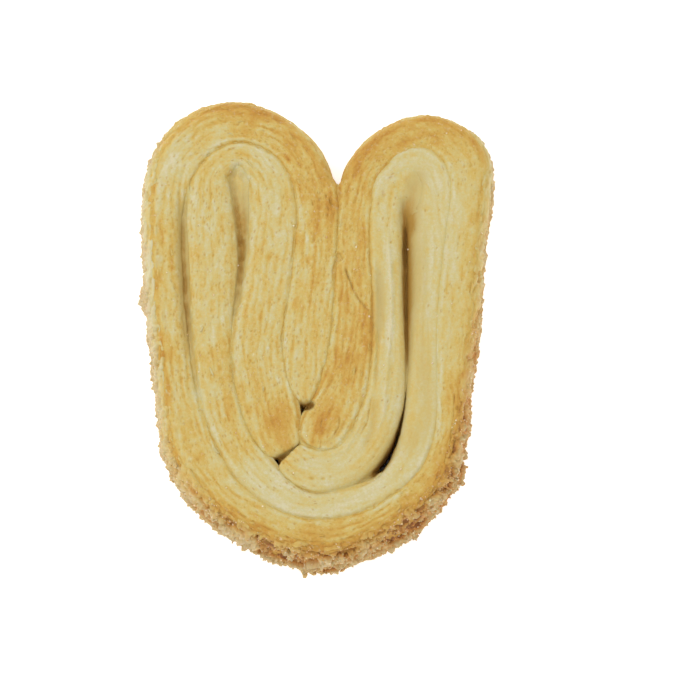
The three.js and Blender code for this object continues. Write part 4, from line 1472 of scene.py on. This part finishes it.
def scattered_mesh(name, shapes, spots, tints):
    """Many copies of a few shapes as one mesh. Each spot is a shape number, a 3 by 3 turn and a place."""
    points, faces, tint, start = [], [], [], 0
    for (kind, turn, place), shade in zip(spots, tints):
        base, triangles = shapes[kind]
        points.append(base @ turn.T + place)
        faces.append(triangles + start)
        tint.append(np.full(len(base), shade))
        start += len(base)
    points, faces, tint = np.concatenate(points) * MM, np.concatenate(faces), np.concatenate(tint)
    mesh = bpy.data.meshes.new(name)
    mesh.vertices.add(len(points))
    mesh.vertices.foreach_set("co", points.ravel())
    mesh.loops.add(faces.size)
    mesh.loops.foreach_set("vertex_index", faces.ravel())
    mesh.polygons.add(len(faces))
    mesh.polygons.foreach_set("loop_start", np.arange(0, faces.size, 3))
    mesh.update(calc_edges=True)
    mesh.attributes.new("tint", "FLOAT", "POINT").data.foreach_set("value", tint.astype(np.float32))
    mesh.validate()
    return mesh


def chosen(weights, count, rng):
    """Seeded picks of ring and column, by weight."""
    flat = (weights / weights.sum()).ravel().cumsum()
    picks = np.searchsorted(flat, rng.random(count))
    return np.unravel_index(np.minimum(picks, weights.size - 1), weights.shape)


def area_of(points):
    """The share of surface that each point of a tube stands for."""
    along = np.linalg.norm(np.gradient(points, axis=0), axis=-1)
    around = np.linalg.norm((np.roll(points, -1, axis=1) - np.roll(points, 1, axis=1)) / 2, axis=-1)
    return along * around


def any_turn(rng):
    """A random turn in space."""
    q = rng.normal(size=4)
    q /= np.linalg.norm(q)
    w, x, y, z = q
    return np.array(
        [
            [1 - 2 * (y * y + z * z), 2 * (x * y - z * w), 2 * (x * z + y * w)],
            [2 * (x * y + z * w), 1 - 2 * (x * x + z * z), 2 * (y * z - x * w)],
            [2 * (x * z - y * w), 2 * (y * z + x * w), 1 - 2 * (x * x + y * y)],
        ]
    )


# ---------------------------------------------------------------- properties


def length_property(name, description, default):
    """A size in millimetres."""
    return FloatProperty(name=name, description=description, default=default, min=0.0)


def colour_property(name, description, default):
    """A colour that a user may change, in linear light."""
    return FloatVectorProperty(
        name=name, description=description, default=default, size=3, min=0.0, max=1.0, subtype="COLOR"
    )


class PastrySizes(bpy.types.PropertyGroup):
    """Sizes of the dough sheets and what lies on them, in millimetres."""

    thickness: length_property("Thickness", "Height of a sheet's crown, in mm", 12.0)
    bulge: length_property("Side bulge", "How far a sheet's side swells, in mm", 0.45)
    corner: length_property("Corner", "Rounding of a sheet's upper edges, in mm", 0.3)
    seam_depth: length_property("Seam depth", "How far the crumb sinks along a seam, in mm", 0.2)
    seam_width: length_property("Seam width", "How far a seam's valley reaches to each side, in mm", 0.55)
    seam_sink: length_property("Seam sink", "How far below the sheets a seam's own crumb lies, in mm", 0.2)
    ply_pitch: length_property("Layer pitch", "Mean distance between two layers, in mm", 1.3)
    ply_relief: length_property("Layer relief", "How far a layer's back stands proud, in mm", 0.04)
    crease_depth: length_property("Crease depth", "Depth of the creases between layers, in mm", 0.05)
    pit_depth: length_property("Pit depth", "Depth of the pits, in mm", 0.12)
    rim_roughness: length_property("Rim roughness", "Height of the lumps of crust, in mm", 0.34)
    grain: length_property("Sugar grain", "Edge of a sugar grain, in mm", 0.3)
    grains: IntProperty(name="Grains", description="Number of sugar grains", default=1000, min=0)
    crumb: length_property("Crumb", "Radius of a crumb of crust, in mm", 0.42)
    crumbs: IntProperty(name="Crumbs", description="Number of crumbs on the rim", default=460, min=0)
    flake: length_property("Flake", "Length of a loose flake, in mm", 1.6)
    flakes: IntProperty(name="Flakes", description="Number of loose flakes", default=30, min=0)
    seed: IntProperty(name="Seed", description="Starts every random draw", default=7, min=0)


class PastryColours(bpy.types.PropertyGroup):
    """Colours of the pastry from pale crumb to brown crust."""

    ivory: colour_property("Ivory", "Palest crumb", (0.645, 0.578, 0.362))
    cream: colour_property("Cream", "Pale crumb", (0.612, 0.538, 0.295))
    straw: colour_property("Straw", "Lightly baked crumb", (0.603, 0.508, 0.228))
    maize: colour_property("Maize", "Yellow layers", (0.612, 0.472, 0.165))
    golden: colour_property("Golden", "Golden layers", (0.605, 0.425, 0.113))
    honey: colour_property("Honey", "Well baked layers", (0.585, 0.368, 0.082))
    amber: colour_property("Amber", "Browned layers", (0.56, 0.32, 0.058))
    brown: colour_property("Brown", "Brown layers", (0.5, 0.245, 0.038))
    dark_brown: colour_property("Dark brown", "Brownest layers", (0.3, 0.12, 0.02))
    # Pore is partly the browner crumb inside pits and creases and partly painted shade. Shaded crumb and deep
    # crumb are painted shade, for crumb below the crown and in the slots.
    pore: colour_property("Pore", "Inside of pits and creases", (0.49, 0.275, 0.045))
    shaded: colour_property("Shaded crumb", "Crumb in the slots", (0.545, 0.425, 0.165))
    deep: colour_property("Deep crumb", "Crumb at the bottom of the slots", (0.46, 0.27, 0.058))
    # Glint is painted highlight.
    glint: colour_property("Glint", "Bright specks", (0.72, 0.66, 0.44))
    sugared: colour_property("Sugared crust", "Crust under melted sugar", (0.65, 0.505, 0.285))
    beige: colour_property("Beige crust", "Palest lumps of crust", (0.605, 0.445, 0.2))
    sand: colour_property("Sand crust", "Pale crust", (0.595, 0.39, 0.145))
    tan: colour_property("Tan crust", "Crust between the lumps", (0.58, 0.332, 0.104))
    caramel: colour_property("Caramel", "Melted sugar and browned crust", (0.59, 0.288, 0.068))
    toffee: colour_property("Toffee", "Brown crust", (0.54, 0.235, 0.043))
    # Cavity is partly caramel and partly painted shade in the crust's hollows.
    cavity: colour_property("Cavity", "Inside of the crust's cavities", (0.28, 0.1, 0.018))
    sugar: colour_property("Sugar", "Sugar grains", (0.84, 0.7, 0.46))
    floor: colour_property("Floor", "The plain floor", (0.95, 0.95, 0.95))


class StageSettings(bpy.types.PropertyGroup):
    """Camera and light."""

    tilt: FloatProperty(
        name="Tilt",
        description="How far the camera leans from straight above",
        default=math.radians(12),
        subtype="ANGLE",
    )
    distance: FloatProperty(
        name="Distance",
        description="From the camera to the pastry",
        default=0.42,
        unit="LENGTH",
        subtype="DISTANCE",
    )
    lens: FloatProperty(name="Lens", description="Focal length in mm", default=120.2, min=1.0)
    key_power: FloatProperty(
        name="Key light", description="Power of the soft key light in watts", default=3.2, min=0.0
    )
    sky: FloatProperty(name="Sky", description="Strength of the light from all round", default=0.75, min=0.0)


# ---------------------------------------------------------------- operators


def material_for(key):
    """The named finish, made when it is first wanted."""
    colours = bpy.context.scene.pastry_colours
    makers = {
        "baked_layers": pastry_material,
        "sugared_crust": crust_material,
        "sugar_grains": sugar_material,
        "thin_flakes": flake_material,
        "crust_crumbs": crumb_material,
    }
    return bpy.data.materials.get(key) or makers[key](colours)


def lay_sheet(name, stations, bake):
    """Makes one sheet of dough as a piece."""
    sizes = bpy.context.scene.pastry_sizes
    noise = Noise(sizes.seed + SEED_OF[name])
    new_piece(name, Sheet(name, stations, bake, sizes, noise).mesh(), material_for("baked_layers"))


class PASTRY_OT_outer_sheet(bpy.types.Operator):
    """Makes the outer sheet: the rim, both lobes and the torn and rolled ends in the middle"""

    bl_idname = "pastry.outer_sheet"
    bl_label = "Outer sheet"

    def execute(self, context):
        lay_sheet("outer_sheet", OUTER_SHEET, OUTER_BAKE)
        return {"FINISHED"}


class PASTRY_OT_inner_sheet(bpy.types.Operator):
    """Makes the inner sheet: the pale core along the slots, with its two cut ends"""

    bl_idname = "pastry.inner_sheet"
    bl_label = "Inner sheet"

    def execute(self, context):
        lay_sheet("inner_sheet", INNER_SHEET, INNER_BAKE)
        surfaces["top_map"] = TopMap([surfaces["outer_sheet"], surfaces["inner_sheet"]])
        return {"FINISHED"}


class PASTRY_OT_seam_crumb(bpy.types.Operator):
    """Closes the sheets' seams below with a low line of crumb"""

    bl_idname = "pastry.seam_crumb"
    bl_label = "Seam crumb"

    def execute(self, context):
        sizes = context.scene.pastry_sizes
        noise = Noise(sizes.seed + SEED_OF["seam_crumb"])
        line = route(OUTER_SHEET)
        strips = []
        for side, first, last in SEAMS:
            start, end = (station_distance(line, mark) for mark in (first, last))
            profile = self.profile(start, end, sizes)
            strips.append(crumb_strip(line, start, end, profile, SEAM_UNDER, sizes, noise, side))
        joined_piece("seam_crumb", strips, material_for("baked_layers"))
        return {"FINISHED"}

    @staticmethod
    def profile(start, end, sizes):
        """Reach and depth of a seam's crumb, which narrows and sinks towards its ends."""

        def at(row):
            ends = ease(0, 1.5, np.minimum(row["along"] - start, end - row["along"]))
            return 0.2 + 0.5 * ends, 0.2 + 0.5 * ends, sizes.seam_sink + 0.6 * (1 - ends)

        return at


class PASTRY_OT_hollow_crumb(bpy.types.Operator):
    """Fills the hollows between the sheets with crumb, where they have grown together below the top"""

    bl_idname = "pastry.hollow_crumb"
    bl_label = "Hollow crumb"

    def execute(self, context):
        sizes = context.scene.pastry_sizes
        strips = []
        for number, table in enumerate(HOLLOWS.values()):
            noise = Noise(sizes.seed + SEED_OF["hollow_crumb"] + number)
            knots = [(x + BOX_MIDDLE[0], y + BOX_MIDDLE[1], reach) for x, y, reach, _, _ in table]
            line = route(knots)
            end, profile = line["along"][-1], self.profile(table)
            strips.append(crumb_strip(line, 0, end, profile, HOLLOW_UNDER, sizes, noise))
        joined_piece("hollow_crumb", strips, material_for("baked_layers"))
        return {"FINISHED"}

    @staticmethod
    def profile(table):
        """Reach and depth of a hollow's crumb, as its table says."""

        def at(row):
            columns = ([knot[n] for knot in table] for n in (3, 4))
            lean, sink = (np.interp(row["mark"], np.arange(len(table)), column) for column in columns)
            return row["width"] * lean, row["width"] * (1 - lean), sink

        return at


class PASTRY_OT_rim_crust(bpy.types.Operator):
    """Makes the rough crust over the rim and the outer wall"""

    bl_idname = "pastry.rim_crust"
    bl_label = "Rim crust"

    def execute(self, context):
        sizes = context.scene.pastry_sizes
        mesh = crust_mesh("rim_crust", sizes, Noise(sizes.seed + SEED_OF["rim_crust"]))
        new_piece("rim_crust", mesh, material_for("sugared_crust"))
        return {"FINISHED"}


class PASTRY_OT_rim_crumbs(bpy.types.Operator):
    """Strews crumbs of crust along the rim"""

    bl_idname = "pastry.rim_crumbs"
    bl_label = "Rim crumbs"

    def execute(self, context):
        sizes = context.scene.pastry_sizes
        seed = sizes.seed + SEED_OF["rim_crumbs"]
        rng, noise = np.random.default_rng(seed), Noise(seed)
        shapes = [self.lump(noise, n) for n in range(8)]
        rim = surfaces["rim_crust"]
        weights = area_of(rim["points"]) * rim["outside"] * ease(0.5, 1, rim["amount"])
        spots, tints = [], []
        for ring, column in zip(*chosen(weights, sizes.crumbs, rng)):
            size = sizes.crumb * (0.35 + 0.75 * rng.random() ** 3)
            turn = any_turn(rng) @ np.diag([size * 1.4, size, size * 0.7])
            place = rim["points"][ring, column] - rim["normal"][ring, column] * size * 0.1
            place[2] = max(place[2], size)
            spots.append((rng.integers(len(shapes)), turn, place))
            tints.append(np.clip(rim["brown"][ring, column] + rng.normal(-0.15, 0.25), 0, 1))
        mesh = scattered_mesh("rim_crumbs", shapes, spots, tints)
        new_piece("rim_crumbs", mesh, material_for("crust_crumbs"))
        return {"FINISHED"}

    @staticmethod
    def lump(noise, number):
        """An uneven ball, and the first two finer than the rest."""
        fineness = 2 if number < 2 else 1
        points, faces = shape_of(lambda bm: bmesh.ops.create_icosphere(bm, subdivisions=fineness, radius=1))
        points = points * (1 + 0.45 * noise.layers(points * 1.3 + 9 * number, 2))[:, None]
        return points, faces


class PASTRY_OT_sugar(bpy.types.Operator):
    """Scatters sugar grains over the rim and thinly over the top"""

    bl_idname = "pastry.sugar"
    bl_label = "Sugar grains"

    def execute(self, context):
        sizes = context.scene.pastry_sizes
        rng = np.random.default_rng(sizes.seed + SEED_OF["sugar"])
        shapes = [shape_of(lambda bm: bmesh.ops.create_cube(bm, size=1))]
        spots, tints = [], []
        for name, share in (("rim_crust", 0.9), ("outer_sheet", 0.06), ("inner_sheet", 0.04)):
            sheet = surfaces[name]
            if name == "rim_crust":
                weights = area_of(sheet["points"]) * sheet["outside"] * (sheet["sugar"] * sheet["brown"]) ** 2
            else:
                weights = area_of(sheet["points"]) * sheet["top"]
            for ring, column in zip(*chosen(weights, int(sizes.grains * share), rng)):
                size = sizes.grain * rng.uniform(0.4, 1.1)
                turn = any_turn(rng) @ np.diag(size * rng.uniform(0.6, 1.1, 3))
                place = sheet["points"][ring, column] + sheet["normal"][ring, column] * size * 0.1
                place[2] = max(place[2], size * 0.6)
                spots.append((0, turn, place))
                tints.append(np.clip(rng.normal(0.15, 0.2) + 0.3 * sheet["brown"][ring, column], 0, 1))
        mesh = scattered_mesh("sugar_grains", shapes, spots, tints)
        new_piece("sugar_grains", mesh, material_for("sugar_grains"), smooth=False)
        return {"FINISHED"}


class PASTRY_OT_flakes(bpy.types.Operator):
    """Lays loose flakes of the thin layers on the top"""

    bl_idname = "pastry.flakes"
    bl_label = "Flakes"

    def execute(self, context):
        sizes = context.scene.pastry_sizes
        seed = sizes.seed + SEED_OF["flakes"]
        rng, noise = np.random.default_rng(seed), Noise(seed)
        shapes = [self.flake(noise, n) for n in range(6)]
        spots, tints = [], []
        for name, share in (("outer_sheet", 0.75), ("inner_sheet", 0.25)):
            sheet = surfaces[name]
            weights = area_of(sheet["points"]) * sheet["top"] * (0.2 + np.clip(sheet["brown"], 0, 1))
            for ring, column in zip(*chosen(weights, int(sizes.flakes * share), rng)):
                along = np.append(sheet["heading"][ring], 0)
                up = sheet["normal"][ring, column]
                side = np.cross(up, along)
                side /= np.linalg.norm(side)
                along = np.cross(side, up)
                yaw, pitch = rng.normal(0, 0.3), rng.normal(0, 0.18)
                along = along * math.cos(yaw) + side * math.sin(yaw)
                side = np.cross(up, along)
                along = along * math.cos(pitch) + up * math.sin(pitch)
                size = sizes.flake * rng.uniform(0.35, 1.1)
                breadth = side * size * rng.uniform(0.15, 0.35)
                turn = np.stack([along * size, breadth, np.cross(along, side) * size], -1)
                place = sheet["points"][ring, column] + up * 0.08
                spots.append((rng.integers(len(shapes)), turn, place))
                tints.append(np.clip(sheet["brown"][ring, column] + rng.normal(-0.15, 0.2), 0, 1))
        mesh = scattered_mesh("loose_flakes", shapes, spots, tints)
        new_piece("loose_flakes", mesh, material_for("thin_flakes"))
        return {"FINISHED"}

    @staticmethod
    def flake(noise, number):
        """A thin, slightly arched flake with ragged edges."""
        def build(bm):
            bmesh.ops.create_grid(bm, x_segments=6, y_segments=3, size=0.5)
            for v in bm.verts:
                x, y = v.co.x, v.co.y
                ragged = float(noise.plane(x * 4 + 9 * number, y * 4))
                v.co.x += 0.1 * ragged
                v.co.y *= 1 - 1.4 * abs(x) ** 2 + 0.3 * ragged
                v.co.z = 0.12 * x * x + 0.04 * ragged
            bmesh.ops.solidify(bm, geom=bm.faces[:] + bm.edges[:] + bm.verts[:], thickness=0.05)
            bmesh.ops.recalc_face_normals(bm, faces=bm.faces)

        return shape_of(build)


class PASTRY_OT_stage(bpy.types.Operator):
    """Sets up the pale floor, the soft light and the camera"""

    bl_idname = "pastry.stage"
    bl_label = "Stage"

    def execute(self, context):
        stage = context.scene.pastry_stage
        colours = context.scene.pastry_colours
        bm = bmesh.new()
        bmesh.ops.create_grid(bm, x_segments=1, y_segments=1, size=3.0)
        mesh = bpy.data.meshes.new("floor")
        bm.to_mesh(mesh)
        bm.free()
        floor = bpy.data.objects.new("floor", mesh)
        context.scene.collection.objects.link(floor)
        mesh.materials.append(floor_material(colours))
        self.light("key", (-0.45, 0.25, 0.75), 0.7, stage.key_power)
        self.light("fill", (0.5, -0.45, 0.7), 0.9, stage.key_power * 0.35)
        world = bpy.data.worlds.new("soft_sky")
        world.use_nodes = True
        sky = world.node_tree.nodes["Background"].inputs
        sky[0].default_value = (1, 1, 1, 1)
        sky[1].default_value = stage.sky
        context.scene.world = world
        context.scene.view_settings.view_transform = "Standard"
        camera = bpy.data.cameras.new("camera")
        camera.lens = stage.lens
        camera.sensor_width = 36
        camera.clip_start = 0.01
        eye = bpy.data.objects.new("camera", camera)
        back = Vector((0, -math.sin(stage.tilt), math.cos(stage.tilt)))
        eye.location = Vector(CAMERA_AIM) * MM + back * stage.distance
        eye.rotation_euler = (stage.tilt, 0, 0)
        context.scene.collection.objects.link(eye)
        context.scene.camera = eye
        return {"FINISHED"}

    @staticmethod
    def light(name, place, size, power):
        """An area light that faces the origin."""
        lamp = bpy.data.lights.new(name, "AREA")
        lamp.size = size
        lamp.energy = power
        thing = bpy.data.objects.new(name, lamp)
        thing.location = place
        thing.rotation_euler = (-Vector(place)).to_track_quat("-Z", "Y").to_euler()
        bpy.context.scene.collection.objects.link(thing)


STEPS = (
    PASTRY_OT_stage,
    PASTRY_OT_outer_sheet,
    PASTRY_OT_inner_sheet,
    PASTRY_OT_hollow_crumb,
    PASTRY_OT_seam_crumb,
    PASTRY_OT_rim_crust,
    PASTRY_OT_rim_crumbs,
    PASTRY_OT_sugar,
    PASTRY_OT_flakes,
)


class PASTRY_PT_panel(bpy.types.Panel):
    """Lists the steps that build the pastry"""

    bl_label = "Pastry"
    bl_idname = "PASTRY_PT_panel"
    bl_space_type = "VIEW_3D"
    bl_region_type = "UI"
    bl_category = "Pastry"

    def draw(self, context):
        for step in STEPS:
            self.layout.operator(step.bl_idname)
        for group in (context.scene.pastry_sizes, context.scene.pastry_colours, context.scene.pastry_stage):
            box = self.layout.box()
            for name in group.__annotations__:
                box.prop(group, name)


CLASSES = (PastrySizes, PastryColours, StageSettings, *STEPS, PASTRY_PT_panel)


def register():
    """Adds the steps, their settings and the panel to Blender."""
    for cls in CLASSES:
        bpy.utils.register_class(cls)
    bpy.types.Scene.pastry_sizes = PointerProperty(type=PastrySizes)
    bpy.types.Scene.pastry_colours = PointerProperty(type=PastryColours)
    bpy.types.Scene.pastry_stage = PointerProperty(type=StageSettings)


def unregister():
    """Takes them out again."""
    del bpy.types.Scene.pastry_sizes
    del bpy.types.Scene.pastry_colours
    del bpy.types.Scene.pastry_stage
    for cls in reversed(CLASSES):
        bpy.utils.unregister_class(cls)


def main():
    """Builds the pastry and its stage."""
    register()
    for step in STEPS:
        area, name = step.bl_idname.split(".")
        getattr(getattr(bpy.ops, area), name)()


if __name__ == "__main__":
    main()
